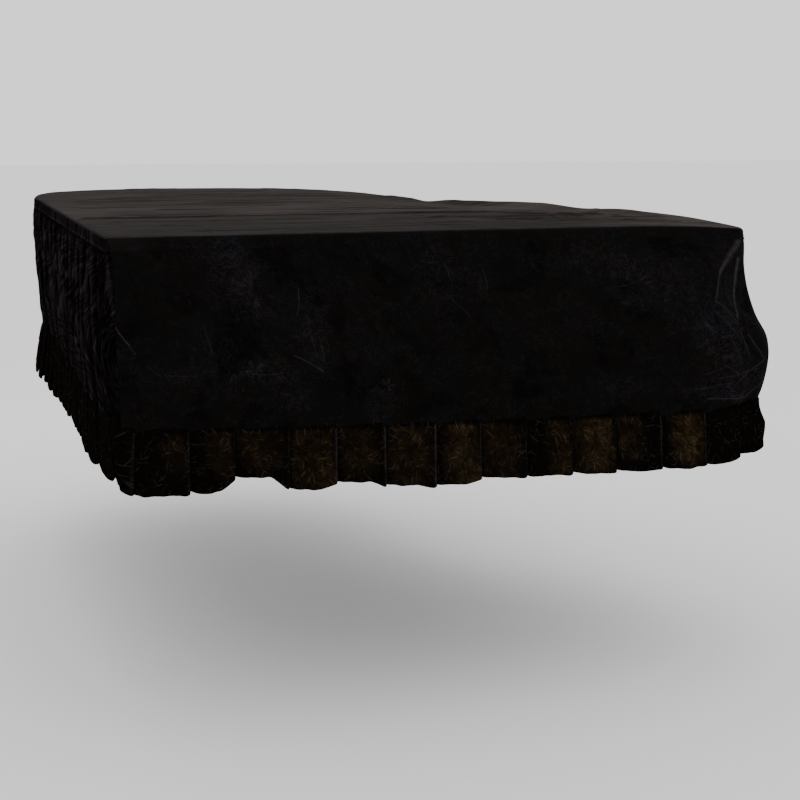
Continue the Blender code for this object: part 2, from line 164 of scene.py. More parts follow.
# Large folds and creases of the front drop
# columns: from x, depth, to x, depth, sideways bow, height, half width
DROP_FOLDS = [
    (0.735, 0.030, 0.662, 0.150, 0.000, 0.010, 0.030),
    (0.742, 0.070, 0.720, 0.210, 0.000, -0.010, 0.028),
    (0.668, 0.170, 0.745, 0.250, 0.000, 0.007, 0.026),
    (0.560, 0.350, 0.740, 0.325, 0.000, -0.007, 0.028),
    (-0.742, 0.080, -0.700, 0.240, 0.000, 0.006, 0.026),
    (-0.690, 0.080, -0.620, 0.330, 0.000, -0.004, 0.040),
    (-0.752, 0.115, -0.703, 0.246, 0.008, 0.0040, 0.010),
    (-0.712, 0.212, -0.690, 0.256, 0.003, 0.0024, 0.008),
    (-0.710, 0.248, -0.520, 0.256, 0.002, 0.0026, 0.012),
    (-0.530, 0.258, -0.300, 0.266, -0.002, 0.0020, 0.012),
    (-0.300, 0.266, 0.100, 0.262, 0.001, 0.0014, 0.014),
    (0.150, 0.262, 0.560, 0.262, 0.003, 0.0012, 0.014),
    (0.740, 0.022, 0.652, 0.098, 0.006, 0.0045, 0.011),
    (0.655, 0.092, 0.614, 0.162, 0.004, 0.0035, 0.010),
    (0.738, 0.052, 0.704, 0.168, -0.008, 0.0050, 0.010),
    (0.700, 0.050, 0.640, 0.170, 0.006, -0.0030, 0.016),
    (0.604, 0.156, 0.676, 0.228, -0.004, 0.0034, 0.009),
    (0.590, 0.186, 0.668, 0.262, -0.006, 0.0028, 0.009),
    (0.560, 0.205, 0.612, 0.238, 0.003, 0.0022, 0.008),
    (0.640, 0.120, 0.700, 0.210, 0.008, 0.0026, 0.010),
    (0.700, 0.200, 0.722, 0.300, 0.006, 0.0034, 0.011),
    (0.500, 0.348, 0.700, 0.326, 0.005, 0.0036, 0.010),
    (0.560, 0.378, 0.736, 0.350, 0.003, 0.0034, 0.009),
    (0.540, 0.300, 0.712, 0.306, -0.008, 0.0024, 0.012),
    (0.420, 0.366, 0.560, 0.372, 0.004, 0.0020, 0.009),
    (-0.495, 0.030, -0.505, 0.075, 0.004, 0.0016, 0.008),
    (-0.470, 0.045, -0.430, 0.110, -0.004, 0.0014, 0.008),
    (-0.352, 0.085, -0.362, 0.140, 0.001, 0.0016, 0.006),
    (-0.330, 0.205, -0.318, 0.262, 0.002, 0.0018, 0.007),
    (-0.345, 0.212, -0.352, 0.262, 0.001, 0.0016, 0.006),
    (-0.400, 0.232, -0.325, 0.268, 0.002, 0.0022, 0.007),
    (-0.040, 0.045, -0.034, 0.135, 0.002, 0.0014, 0.007),
    (0.010, 0.070, 0.035, 0.150, -0.003, 0.0014, 0.007),
    (0.054, 0.085, 0.056, 0.130, 0.001, 0.0018, 0.006),
    (0.340, 0.030, 0.300, 0.110, 0.008, 0.0014, 0.012),
    (0.430, 0.040, 0.470, 0.140, -0.006, 0.0016, 0.012),
    (0.520, 0.060, 0.470, 0.180, 0.008, 0.0016, 0.014),
]

# Crease across the top, its long shallow wrinkles and the slack ones near the right front corner
# columns: from x, back, to x, back, sideways bow, height, half width
TOP_FOLDS = [
    (0.318, 1.000, 0.640, 0.585, -0.040, 0.0130, 0.070),
    (0.600, 0.560, 0.720, 0.330, 0.000, 0.0080, 0.060),
    (0.290, 1.300, 0.316, 0.940, 0.000, 0.0060, 0.060),
    (-0.735, 0.530, 0.660, 0.530, 0.000, 0.0025, 0.014),
    (-0.690, 0.620, 0.350, 0.606, 0.000, 0.0030, 0.045),
    (-0.620, 1.040, 0.150, 1.000, 0.000, 0.0035, 0.055),
    (-0.600, 1.300, 0.250, 1.330, 0.000, 0.0040, 0.060),
    (0.080, 0.400, 0.640, 0.330, 0.000, 0.0040, 0.045),
    (0.300, 0.230, 0.700, 0.170, 0.000, 0.0040, 0.045),
    (-0.735, 0.531, 0.280, 0.529, 0.004, 0.0022, 0.007),
    (-0.720, 0.565, 0.200, 0.575, 0.006, 0.0014, 0.012),
    (-0.650, 0.700, 0.300, 0.690, 0.010, 0.0022, 0.018),
    (-0.500, 0.820, 0.280, 0.760, -0.012, 0.0024, 0.020),
    (-0.680, 0.905, -0.100, 0.930, 0.008, 0.0020, 0.016),
    (-0.300, 1.130, 0.280, 1.150, 0.010, 0.0022, 0.022),
    (-0.650, 1.200, -0.050, 1.180, -0.010, 0.0020, 0.020),
    (-0.400, 1.450, 0.200, 1.430, 0.012, 0.0024, 0.026),
    (-0.550, 1.560, 0.050, 1.600, -0.010, 0.0020, 0.022),
    (0.326, 0.495, 0.500, 0.300, 0.010, 0.0046, 0.014),
    (0.220, 0.270, 0.452, 0.208, 0.008, 0.0044, 0.013),
    (0.200, 0.318, 0.380, 0.290, 0.004, 0.0030, 0.012),
    (0.440, 0.440, 0.610, 0.205, 0.012, 0.0036, 0.016),
    (0.500, 0.180, 0.660, 0.120, -0.006, 0.0030, 0.014),
    (0.560, 0.090, 0.700, 0.060, 0.006, 0.0030, 0.014),
    (0.560, 0.330, 0.700, 0.260, 0.006, 0.0030, 0.016),
    (-0.560, 0.120, 0.120, 0.150, 0.010, 0.0014, 0.016),
    (-0.250, 0.210, 0.180, 0.235, -0.006, 0.0016, 0.014),
    (-0.600, 0.290, -0.150, 0.275, 0.008, 0.0014, 0.016),
    (-0.700, 0.400, -0.050, 0.430, -0.006, 0.0014, 0.018),
    (-0.060, 0.355, 0.160, 0.380, 0.004, 0.0018, 0.014),
]

# Small soft crumples that crushed velvet keeps after packing
# columns: direction in degrees, pitch, length, height
CRUMPLES = [
    (22.0, 0.034, 0.090, 0.0013),
    (-52.0, 0.028, 0.070, 0.0011),
    (78.0, 0.024, 0.075, 0.0010),
    (-12.0, 0.060, 0.160, 0.0016),
]
TOP_CRUMPLES = [
    (92.0, 0.034, 0.300, 0.0011),
    (84.0, 0.060, 0.450, 0.0014),
    (35.0, 0.050, 0.120, 0.0008),
]

# Gathers of the side skirt
FOLD_PITCH = 0.072
FOLD_POINTS = [(0.0, -0.4), (0.28, 0.4), (0.52, 0.6), (0.80, 0.05)]       # share of the fold, height
# columns: share down, height
FOLD_HEIGHT = [(0.0, 0.0015), (0.12, 0.009), (0.45, 0.014), (0.80, 0.012), (1.0, 0.005)]
FOLD_DRIFT = 0.010
FOLD_UNEVEN = 0.32          # share of the pitch by which a fold's edges wander
LOWEST_FOLD = 0.55          # share of the height that the shallowest fold has
END_FOLD = 0.35             # and that the folds beside the corner seams have
# Finer folds between them
# columns: pitch, length down, height at the seam, height half way down, height at the ruffle
FINE_FOLDS = [
    (0.046, 0.300, 0.0030, 0.0080, 0.0060),
    (0.026, 0.200, 0.0050, 0.0050, 0.0032),
    (0.013, 0.090, 0.0030, 0.0016, 0.0012),
]

# Pleats of the ruffle along the front. Each has the place of its left edge, the hem's depth there, and
# an oval of painted light where light would come through its single layer, as shares of the pleat's
# width and height.
# columns: x, hem depth, light, oval's middle across and down, its half width and half height, and the
# strength of the painted highlight along the fold at the left edge
FRONT_PLEATS = [
    (-0.730, 0.486, 0.40, 0.78, 0.35, 0.35, 0.45, 0.30),
    (-0.623, 0.487, 0.62, 0.66, 0.33, 0.36, 0.50, 0.45),
    (-0.528, 0.468, 0.45, 0.45, 0.40, 0.55, 0.60, 0.20),
    (-0.413, 0.499, 0.70, 0.48, 0.50, 0.60, 0.85, 0.25),
    (-0.311, 0.490, 0.50, 0.36, 0.45, 0.50, 0.60, 0.80),
    (-0.205, 0.506, 0.70, 0.45, 0.45, 0.52, 0.72, 1.00),
    (-0.091, 0.514, 0.95, 0.62, 0.50, 0.48, 0.85, 0.90),
    (0.013, 0.508, 0.50, 0.36, 0.50, 0.52, 0.75, 0.50),
    (0.119, 0.510, 0.60, 0.72, 0.55, 0.34, 0.85, 0.25),
    (0.226, 0.513, 1.05, 0.52, 0.40, 0.58, 0.75, 0.25),
    (0.335, 0.515, 0.55, 0.28, 0.36, 0.36, 0.52, 0.20),
    (0.448, 0.518, 1.30, 0.58, 0.45, 0.40, 0.60, 0.65),
    (0.560, 0.513, 0.06, 0.40, 0.40, 0.60, 0.60, 0.60),
    (0.660, 0.506, 0.04, 0.50, 0.40, 0.60, 0.60, 0.35),
]
PLEAT_PITCH = 0.108
PLEAT_LAP = 0.016
PLEAT_LAYER = 0.0024        # from one layer of a sewn pleat to the next
PLEAT_UNEVEN = 0.3
PLEAT_OPENING = 0.8         # power of the share down with which a pleat opens: under 1, mostly high up
FLARE_OPENING = 0.6         # the same power for the flare of the whole ruffle
LEAST_OPENING = 0.7
OPENING_RANGE = 0.6
SPINE_OPENING = 0.25        # share of that on the straight side, where the pleats hang flatter
# One pleat in plan as it hangs open at the hem
# columns: share of its width along, distance out, extra depth of the hem
HANGING_PLEAT = [
    (0.000, -0.004, -0.004),
    (0.220, 0.006, 0.001),
    (0.580, 0.015, 0.003),
    (1.050, 0.018, 0.002),
    (1.055, 0.012, -0.003),
    (1.010, 0.004, -0.006),
]
PLEAT_STEPS = [5, 8, 14, 2, 4, 3]     # columns of the grid in each stretch of a pleat
HEM_UNEVEN = 0.010
HEM_TURN = 0.010            # hem turned up inside

# Painted highlights along creases, as thin light lines on the front drop
# columns: from x, depth, to x, depth, half width, brightness
CREASE_LINES = [
    (-0.763, 0.132, -0.755, 0.156, 0.0022, 0.8),
    (-0.755, 0.156, -0.743, 0.180, 0.0022, 1.0),
    (-0.743, 0.180, -0.727, 0.203, 0.0022, 1.0),
    (-0.727, 0.203, -0.716, 0.220, 0.0020, 0.5),
    (-0.655, 0.257, -0.600, 0.262, 0.0020, 0.2),
    (-0.575, 0.168, -0.566, 0.222, 0.0014, 0.4),
    (-0.363, 0.106, -0.376, 0.155, 0.0016, 0.7),
    (-0.336, 0.205, -0.331, 0.253, 0.0016, 0.5),
    (-0.352, 0.206, -0.346, 0.240, 0.0014, 0.5),
    (-0.396, 0.232, -0.336, 0.267, 0.0018, 0.8),
    (-0.500, 0.268, -0.425, 0.264, 0.0016, 0.5),
    (-0.022, 0.066, -0.018, 0.098, 0.0014, 0.6),
    (-0.035, 0.125, 0.010, 0.172, 0.0014, 0.4),
    (0.063, 0.082, 0.061, 0.124, 0.0014, 0.6),
    (0.727, 0.036, 0.690, 0.074, 0.0110, 1.2),
    (0.690, 0.074, 0.655, 0.108, 0.0090, 1.3),
    (0.655, 0.108, 0.620, 0.158, 0.0060, 0.8),
    (0.718, 0.080, 0.706, 0.128, 0.0090, 1.3),
    (0.706, 0.128, 0.684, 0.202, 0.0060, 1.0),
    (0.610, 0.300, 0.700, 0.345, 0.0024, 0.6),
    (0.650, 0.345, 0.735, 0.300, 0.0026, 0.7),
    (0.560, 0.318, 0.650, 0.300, 0.0020, 0.5),
    (0.690, 0.385, 0.745, 0.345, 0.0030, 0.8),
    (0.700, 0.240, 0.735, 0.300, 0.0028, 0.7),
    (0.614, 0.163, 0.684, 0.218, 0.0022, 0.8),
    (0.610, 0.186, 0.668, 0.242, 0.0018, 0.5),
    (0.678, 0.230, 0.692, 0.285, 0.0024, 0.8),
    (0.640, 0.250, 0.664, 0.300, 0.0018, 0.5),
    (0.570, 0.372, 0.690, 0.386, 0.0028, 0.8),
    (0.540, 0.350, 0.640, 0.340, 0.0020, 0.5),
    (0.600, 0.330, 0.720, 0.318, 0.0022, 0.5),
]

# Places from which the painted highlights of short creases spread like the ribs of a fan
# columns: x, depth, reach, brightness
CREASE_FANS = [
    (-0.459, 0.103, 0.060, 0.40),
    (-0.470, 0.045, 0.050, 0.30),
    (-0.527, 0.256, 0.034, 0.45),
    (-0.480, 0.258, 0.030, 0.40),
    (-0.372, 0.200, 0.045, 0.30),
    (-0.198, 0.303, 0.022, 0.90),
    (-0.030, 0.060, 0.045, 0.30),
    (0.420, 0.120, 0.075, 0.30),
    (0.600, 0.240, 0.085, 0.35),
    (0.655, 0.371, 0.060, 0.45),
]

FAN_ARMS = 16               # creases of a fan
FAN_TURN = 0.09             # distance over which they turn
CREASE_WAVER = 0.080        # pitch of the slight waver of the creases
CREASE_SHIFT = 0.012        # and how far it moves them
MARK_TURN = 0.060           # distance over which the direction of the fine marks drifts
MARK_SCATTER = 1.3          # and how far each mark is turned from it, in radians
STREAK_DRAW = 0.12          # how much shorter a streak of the top is from front to back than across
GATHER_DRAW = 0.09          # how much shorter a gather's crest is across than down

# Patches of painted sheen, where the crushed pile catches the light, on the front drop
# columns: x, depth, half width, half height, strength
FRONT_PATCHES = [
    (-0.490, 0.090, 0.070, 0.075, 0.80),
    (-0.520, 0.030, 0.080, 0.030, 0.60),
    (-0.345, 0.190, 0.040, 0.090, 0.75),
    (-0.455, 0.270, 0.075, 0.035, 0.90),
    (-0.400, 0.330, 0.050, 0.040, 0.60),
    (-0.215, 0.340, 0.045, 0.050, 0.70),
    (-0.620, 0.262, 0.060, 0.025, 0.60),
    (-0.050, 0.090, 0.060, 0.070, 0.50),
    (0.040, 0.100, 0.050, 0.050, 0.60),
    (0.330, 0.060, 0.110, 0.050, 0.55),
    (0.500, 0.110, 0.140, 0.080, 0.70),
    (0.620, 0.230, 0.110, 0.090, 0.95),
    (0.690, 0.120, 0.060, 0.110, 0.70),
    (0.600, 0.350, 0.140, 0.040, 0.90),
    (0.360, 0.340, 0.100, 0.030, 0.50),
    (0.690, 0.350, 0.070, 0.060, 1.00),
]

# Grids
COLUMNS_ACROSS = 252
ROWS_BACK = 210
ROWS_DOWN = 82
ROLL_STEPS = 6
BAND_STEPS = 3
SKIRT_COLUMNS = 1080
SKIRT_ROWS = 74
RUFFLE_ROWS = 40

# Camera: its place, its turn to the right, its tilt down and its roll in degrees, and its lens
EYE = (-1.2570, -3.8569, 0.2666)
EYE_TURN = 19.4167
EYE_TILT = 12.3897
EYE_ROLL = 0.3723
LENS_MM = 68.46
SHIFT = (0.0281, 0.0505)


def linear(hex_colour):
    """A colour's sRGB hex value as three linear shares."""
    shares = [int(hex_colour[i:i + 2], 16) / 255 for i in (1, 3, 5)]
    return tuple(s / 12.92 if s <= 0.04045 else ((s + 0.055) / 1.055) ** 2.4 for s in shares)


def uneven(index, seed):
    """A repeatable share between 0 and 1 for each index: the fraction of a steep sine."""
    value = np.sin(np.asarray(index, float) * 12.9898 + seed * 78.233) * 43758.5453
    return value - np.floor(value)


def ease(share):
    """A smooth step from 0 to 1: three squares less two cubes."""
    share = np.clip(share, 0.0, 1.0)
    return share * share * (3.0 - 2.0 * share)


def column(table, index):
    """One column of a table as an array."""
    return np.array([row[index] for row in table])


def smooth_through(at, places, values):
    """A curve through the points: cubic spans whose slope at a point is that of its two neighbours."""
    slope = np.gradient(values, places)
    i = np.clip(np.searchsorted(places, at, side="right") - 1, 0, len(places) - 2)
    length = places[i + 1] - places[i]
    share = np.clip((at - places[i]) / length, 0.0, 1.0)
    rise = values[i + 1] - values[i]
    bend = slope[i] * length - rise
    turn = rise - slope[i + 1] * length
    return values[i] + rise * share + share * (1 - share) * ((1 - share) * bend + share * turn)


def smooth_curve(points, steps):
    """Points of a smooth plan curve through the given points, so many to each span."""
    points = np.array(points)
    at = np.concatenate([[0.0], np.cumsum(np.linalg.norm(np.diff(points, axis=0), axis=1))])
    share = np.arange((len(points) - 1) * steps) / steps
    fine = np.interp(share, np.arange(len(points)), at)
    return np.column_stack([smooth_through(fine, at, points[:, i]) for i in (0, 1)])


def arc(centre, radius, start, end, steps=16):
    """Points along a corner's arc, its ends included, from one angle in degrees to another."""
    angle = np.radians(np.linspace(start, end, steps))
    return np.column_stack([centre[0] + radius * np.cos(angle), centre[1] + radius * np.sin(angle)])


def lid_outline():
    """The lid's outline in plan, counter-clockwise from the front left corner, as evenly spaced points."""
    half = LID_WIDTH / 2
    right = arc((half - RIGHT_CORNER_RADIUS, RIGHT_CORNER_RADIUS), RIGHT_CORNER_RADIUS, -90, 0)
    left = arc((-half + LEFT_CORNER_RADIUS, LEFT_CORNER_RADIUS), LEFT_CORNER_RADIUS, 180, 270)
    behind = smooth_curve([tuple(right[-1])] + CURVED_SIDE + [tuple(left[0])], 24)
    points = np.vstack([left[-1:], right, behind[1:], left])
    points[:, 1] += FRONT_Y
    along = np.concatenate([[0.0], np.cumsum(np.linalg.norm(np.diff(points, axis=0), axis=1))])
    even = np.linspace(0.0, along[-1], 3001)
    xy = np.column_stack([np.interp(even, along, points[:, 0]), np.interp(even, along, points[:, 1])])
    xy = xy[:-1]
    tangent = np.roll(xy, -2, axis=0) - np.roll(xy, 2, axis=0)
    tangent /= np.linalg.norm(tangent, axis=1)[:, None]
    return even[:-1], xy, np.column_stack([tangent[:, 1], -tangent[:, 0]]), even[-1]


ALONG, EDGE, OUTWARD, ROUND = lid_outline()
FRONT_LENGTH = LID_WIDTH - LEFT_CORNER_RADIUS - RIGHT_CORNER_RADIUS
LEFT_CORNER = -LEFT_CORNER_RADIUS * np.pi / 4
RIGHT_CORNER = FRONT_LENGTH + RIGHT_CORNER_RADIUS * np.pi / 4


def on_edge(along):
    """Place and outward direction in plan at distances along the lid's outline."""
    x, y, out_x, out_y = (
        np.interp(along, ALONG, values, period=ROUND)
        for values in (EDGE[:, 0], EDGE[:, 1], OUTWARD[:, 0], OUTWARD[:, 1])
    )
    return np.stack([x, y], axis=-1), np.stack([out_x, out_y], axis=-1)


def hang(along, index):
    """A column of the HANG table at distances along the outline."""
    share = np.asarray(along, float) / ROUND % 1.0
    return np.interp(share, column(HANG, 0), column(HANG, index))


def folds(across, down, table):
    """Sum of the table's folds: a smooth ridge along each bowed line, fading at both its ends."""
    total = np.zeros(np.broadcast(across, down).shape)
    for x0, d0, x1, d1, bow, height, half_width in table:
        length = np.hypot(x1 - x0, d1 - d0)
        ux, ud = (x1 - x0) / length, (d1 - d0) / length
        run = ((across - x0) * ux + (down - d0) * ud) / length
        aside = (down - d0) * ux - (across - x0) * ud - 4 * bow * run * (1 - run)
        fade = min(2 * half_width / length, 0.5)
        ends = ease(run / fade) * ease((1 - run) / fade)
        total = total + height * ends * ease(1.0 - np.abs(aside) / half_width)
    return total


def cloth_noise(u, v, seed):
    """Smooth noise between 0 and 1: a random height at each whole step, joined by eased slopes."""
    iu, iv = np.floor(u), np.floor(v)
    fu, fv = ease(u - iu), ease(v - iv)
    near_left, near_right, far_left, far_right = (
        uneven(iu + a + (iv + b) * 57.0, seed) for b in (0, 1) for a in (0, 1)
    )
    near = near_left + (near_right - near_left) * fu
    far = far_left + (far_right - far_left) * fu
    return near + (far - near) * fv


def crumples(u, v, table):
    """Soft crests in several directions: where each turned and stretched noise crosses its middle."""
    total = np.zeros(np.broadcast(u, v).shape)
    for seed, (angle, pitch, length, height) in enumerate(table, start=11):
        c, s = np.cos(np.radians(angle)), np.sin(np.radians(angle))
        noise = cloth_noise((u * s - v * c) / pitch, (u * c + v * s) / length, seed)
        mask = ease(1.6 * cloth_noise(u / 0.11, v / 0.11, seed + 20) - 0.3)
        total = total + height * mask * (1.0 - np.abs(2.0 * noise - 1.0)) ** 2
    return total


def sag(place):
    """How far the slack top sinks at the right front corner."""
    corner = np.array([LID_WIDTH / 2, FRONT_Y])
    near = np.clip(1.0 - np.linalg.norm(place - corner, axis=-1) / CORNER_SAG_REACH, 0.0, 1.0)
    return CORNER_SAG * near * near


def forward(across, depth, seam):
    """Forward reach of the front drop: the middle's profile, and near either end that end's own."""
    near_end = ease(1.0 - (LID_WIDTH / 2 - RIGHT_CORNER_RADIUS - np.abs(across)) / END_WIDTH)
    middle = smooth_through(depth, column(MIDDLE_PROFILE, 0), column(MIDDLE_PROFILE, 1))
    share = (depth - BAND) / (seam - BAND)
    left, right = (smooth_through(share, column(END_PROFILE, 0), column(END_PROFILE, i)) for i in (1, 2))
    return middle + (np.where(across < 0, left, right) - middle) * near_end


def corner_bulge(along, depth):
    """How far the cloth stands out at the right front corner: a curve of depth, fading along the edge."""
    near = ease(1.0 - np.abs(along % ROUND - RIGHT_CORNER) / CORNER_REACH)
    return near * smooth_through(depth, column(CORNER_BULGE, 0), column(CORNER_BULGE, 1))


def wall(along, depth, out=0.0):
    """The hanging cloth at a distance along the outline and a depth, moved out by out.

    The lid's outline goes down with its lean, the front third is drawn forward, and the sag of the
    corner fades with depth.
    """
    along, depth = np.broadcast_arrays(np.asarray(along, float), np.asarray(depth, float))
    place, outward = on_edge(along)
    seam = hang(along, 1)
    share = np.minimum(depth / seam, 1.0)
    away = hang(along, 3) * share + corner_bulge(along, depth) + out
    plan = place + outward * away[..., None]
    near_front = 1.0 - ease((place[..., 1] - FRONT_Y - RIGHT_CORNER_RADIUS) / FRONT_REACH)
    plan[..., 1] -= forward(place[..., 0], depth, seam) * near_front
    z = -depth - sag(place) * (1.0 - share)
    return np.concatenate([plan, z[..., None]], axis=-1)


def grid_faces(index, closed=False):
    """Four-sided faces of a grid of point numbers, whose rows run down and columns run along."""
    beside = np.roll(index, -1, axis=1) if closed else index[:, 1:]
    here = index if closed else index[:, :-1]
    faces = np.stack([here[:-1], here[1:], beside[1:], beside[:-1]], axis=-1)
    return faces.reshape(-1, 4)


def cloth_object(name, points, faces, uv, relief, shares, material):
    """A cloth piece at the origin. Each point moves along its normal by its relief, and its uv is the
    place in the cut cloth in metres. shares are point attributes for the material."""
    mesh = bpy.data.meshes.new(name)
    mesh.from_pydata(points.tolist(), [], faces.tolist())
    normals = np.empty(points.size)
    mesh.vertices.foreach_get("normal", normals)
    moved = points + normals.reshape(-1, 3) * relief[:, None]
    mesh.vertices.foreach_set("co", moved.ravel())
    layer = mesh.uv_layers.new(name="cut cloth")
    layer.data.foreach_set("uv", uv[faces.ravel()].ravel())
    for key, values in shares.items():
        mesh.attributes.new(key, "FLOAT", "POINT").data.foreach_set("value", np.ascontiguousarray(values))
    mesh.materials.append(material)
    mesh.shade_smooth()
    mesh.update()
    obj = bpy.data.objects.new(name, mesh)
    bpy.context.scene.collection.objects.link(obj)
    return obj


def path_lengths(points, axis):
    """Distance walked along a grid's rows or columns, from the first."""
    step = np.linalg.norm(np.diff(points, axis=axis), axis=-1)
    return np.insert(np.cumsum(step, axis=axis), 0, 0.0, axis=axis)


def side_station(back, left):
    """Distance along the outline where its left or right side is that far back."""
    top = int(np.argmax(EDGE[:, 1]))
    corner = np.searchsorted(ALONG, FRONT_LENGTH + RIGHT_CORNER_RADIUS * np.pi / 2)
    part = slice(len(EDGE) - 1, top, -1) if left else slice(corner, top)
    return float(np.interp(back + FRONT_Y, EDGE[part, 1], ALONG[part]))


def top_grid(front, right, tail, left):
    """The top's grid from the tail to the front edge, blended from its four edges as a soap film is:
    the sum of the blends across and back, less the blend of the four corners."""
    def inset(along):
        place, outward = on_edge(along)
        return place - EDGE_RADIUS * outward
    across = ((front - front[0]) / (front[-1] - front[0]))[None, :, None]
    back = np.linspace(0, 1, len(right))[:, None, None]
    near, far = inset(front)[None], inset(tail)[None]
    west, east = inset(left)[:, None], inset(right)[:, None]
    corners = (
        (1 - across) * (1 - back) * near[:, :1]
        + across * (1 - back) * near[:, -1:]
        + (1 - across) * back * far[:, :1]
        + across * back * far[:, -1:]
    )
    plan = (1 - across) * west + across * east + (1 - back) * near + back * far - corners
    return np.concatenate([plan, -sag(plan)[..., None]], axis=-1)[::-1]


def make_top_and_drop(material, turned_material):
    """The top and its front drop, one cut piece turned down over the lid's edge all round."""
    share = np.linspace(0.0, 1.0, COLUMNS_ACROSS)
    denser = share - 0.45 * np.sin(2 * np.pi * share) / (2 * np.pi)
    front = LEFT_CORNER + denser * (RIGHT_CORNER - LEFT_CORNER)
    right = np.linspace(RIGHT_CORNER, side_station(TAIL_BACK, left=False), ROWS_BACK)
    left = np.linspace(LEFT_CORNER + ROUND, side_station(TAIL_BACK, left=True), ROWS_BACK)
    tail = np.linspace(left[-1], right[-1], COLUMNS_ACROSS)
    top = top_grid(front, right, tail, left)

    turn = np.radians(np.linspace(0, 90, ROLL_STEPS + 1)[1:])
    ring_out = np.concatenate([-EDGE_RADIUS * (1 - np.sin(turn)), np.zeros(BAND_STEPS)])
    band = np.linspace(EDGE_RADIUS, BAND, BAND_STEPS + 1)[1:]
    ring_depth = np.concatenate([EDGE_RADIUS * (1 - np.cos(turn)), band])
    roll = np.stack([wall(front, depth, out) for out, depth in zip(ring_out, ring_depth)])

    seam = hang(front, 1) + SEAM_ALLOWANCE + 0.005 * (cloth_noise(front / 0.034, 0.5, 71) - 0.5)
    down = np.linspace(0.0, 1.0, ROWS_DOWN + 1)[1:]
    depths = BAND + down[:, None] * (seam - BAND)[None, :]
    along = np.broadcast_to(front, depths.shape)
    drop = wall(along, depths)
    grid = np.concatenate([top, roll, drop])
    number = np.arange(grid.shape[0] * grid.shape[1]).reshape(grid.shape[:2])

    place, _ = on_edge(front)
    from_seam = np.minimum(front - LEFT_CORNER, RIGHT_CORNER - front)
    hold = ease(from_seam / SEAM_HOLD)
    across = np.broadcast_to(place[:, 0], depths.shape)
    drop_relief = folds(across, depths, DROP_FOLDS)
    busier = 0.35 + 0.65 * ease((across - 0.05) / 0.5) + 0.30 * ease((depths - 0.26) / 0.08)
    drop_relief += busier * crumples(across, depths, CRUMPLES)
    drop_relief *= hold * ease((depths - BAND) / 0.02)

    plan = top[..., :2]
    rim = np.minimum.reduce([
        np.linalg.norm(plan - plan[:, :1], axis=-1),
        np.linalg.norm(plan - plan[:, -1:], axis=-1),
        np.linalg.norm(plan - plan[:1], axis=-1),
        np.linalg.norm(plan - plan[-1:], axis=-1),
    ])
    back = top[..., 1] - FRONT_Y
    top_relief = folds(top[..., 0], back, TOP_FOLDS) + crumples(top[..., 0], back, TOP_CRUMPLES)
    top_relief *= ease(rim / 0.015)
    relief = np.concatenate([top_relief, np.zeros(roll.shape[:2]), drop_relief]) + SHEET

    # Painted sheen: patches of the front drop where the crushed pile lies flat and catches the light
    crushed = sum(
        strength * ease(1.25 - np.hypot((across - x) / wide, (depths - d) / high))
        for x, d, wide, high, strength in FRONT_PATCHES
    )
    crushed = np.clip(crushed, 0.0, 1.0)
    on_top = np.zeros(top.shape[:2])
    # Painted sheen of the top from the light above, as a share of a lighter colour: it grows from the
    # front edge to the crease, steps up behind the crease, grows toward the right and falls toward the
    # tail
    to_right = ease((top[..., 0] - 0.30) / 0.35)
    painted_top_sheen = 0.13 + 0.12 * back / 0.53 + 0.22 * ease((back - 0.535) / 0.012) + 0.44 * to_right
    painted_top_sheen -= (0.12 * back / 0.53 + 0.04) * ease((back - 0.60) / 0.60)
    on_roll = np.broadcast_to(crushed[:1], roll.shape[:2])
    crushed = np.concatenate([on_top, on_roll, crushed])
    top_sheen = np.concatenate([painted_top_sheen, np.zeros(roll.shape[:2]), np.zeros(depths.shape)])
    front_share = np.concatenate([on_top, on_top[:len(roll)], np.ones(depths.shape)])

    walked = path_lengths(grid, 0)
    v = walked[ROWS_BACK - 1][None, :] - walked
    v[:ROWS_BACK] = top[..., 1] - FRONT_Y
    u = np.broadcast_to(place[:, 0], v.shape).copy()
    u[:ROWS_BACK] = top[..., 0]

    chain = np.concatenate([right[1:], tail[-2::-1], left[-2:0:-1]])
    rim_number = np.concatenate([
        number[ROWS_BACK - 2::-1, -1],
        number[0, -2::-1],
        number[1:ROWS_BACK - 1, 0],
    ])
    hem_out = np.append(ring_out, [0.0014, 0.0004, -0.0016, -0.0022])
    hem_depth = np.append(ring_depth, [BAND + 0.0010, BAND + 0.0026, BAND + 0.0016, BAND - 0.006])
    hem_out[ROLL_STEPS + 1:ROLL_STEPS + BAND_STEPS] += 0.0006
    rings = np.stack([wall(chain, depth, out) for out, depth in zip(hem_out, hem_depth)])
    first = number.size
    ring_number = first + np.arange(rings.shape[0] * rings.shape[1]).reshape(rings.shape[:2])
    side_rows = len(ring_out)
    start = number[ROWS_BACK - 1:ROWS_BACK + side_rows, -1]
    end = number[ROWS_BACK - 1:ROWS_BACK + side_rows, 0]
    upper = np.vstack([rim_number, ring_number[:side_rows]])
    upper = np.column_stack([start, upper, end])
    ring_faces = grid_faces(ring_number[side_rows - 1:])
    faces = np.vstack([grid_faces(number), grid_faces(upper), ring_faces])

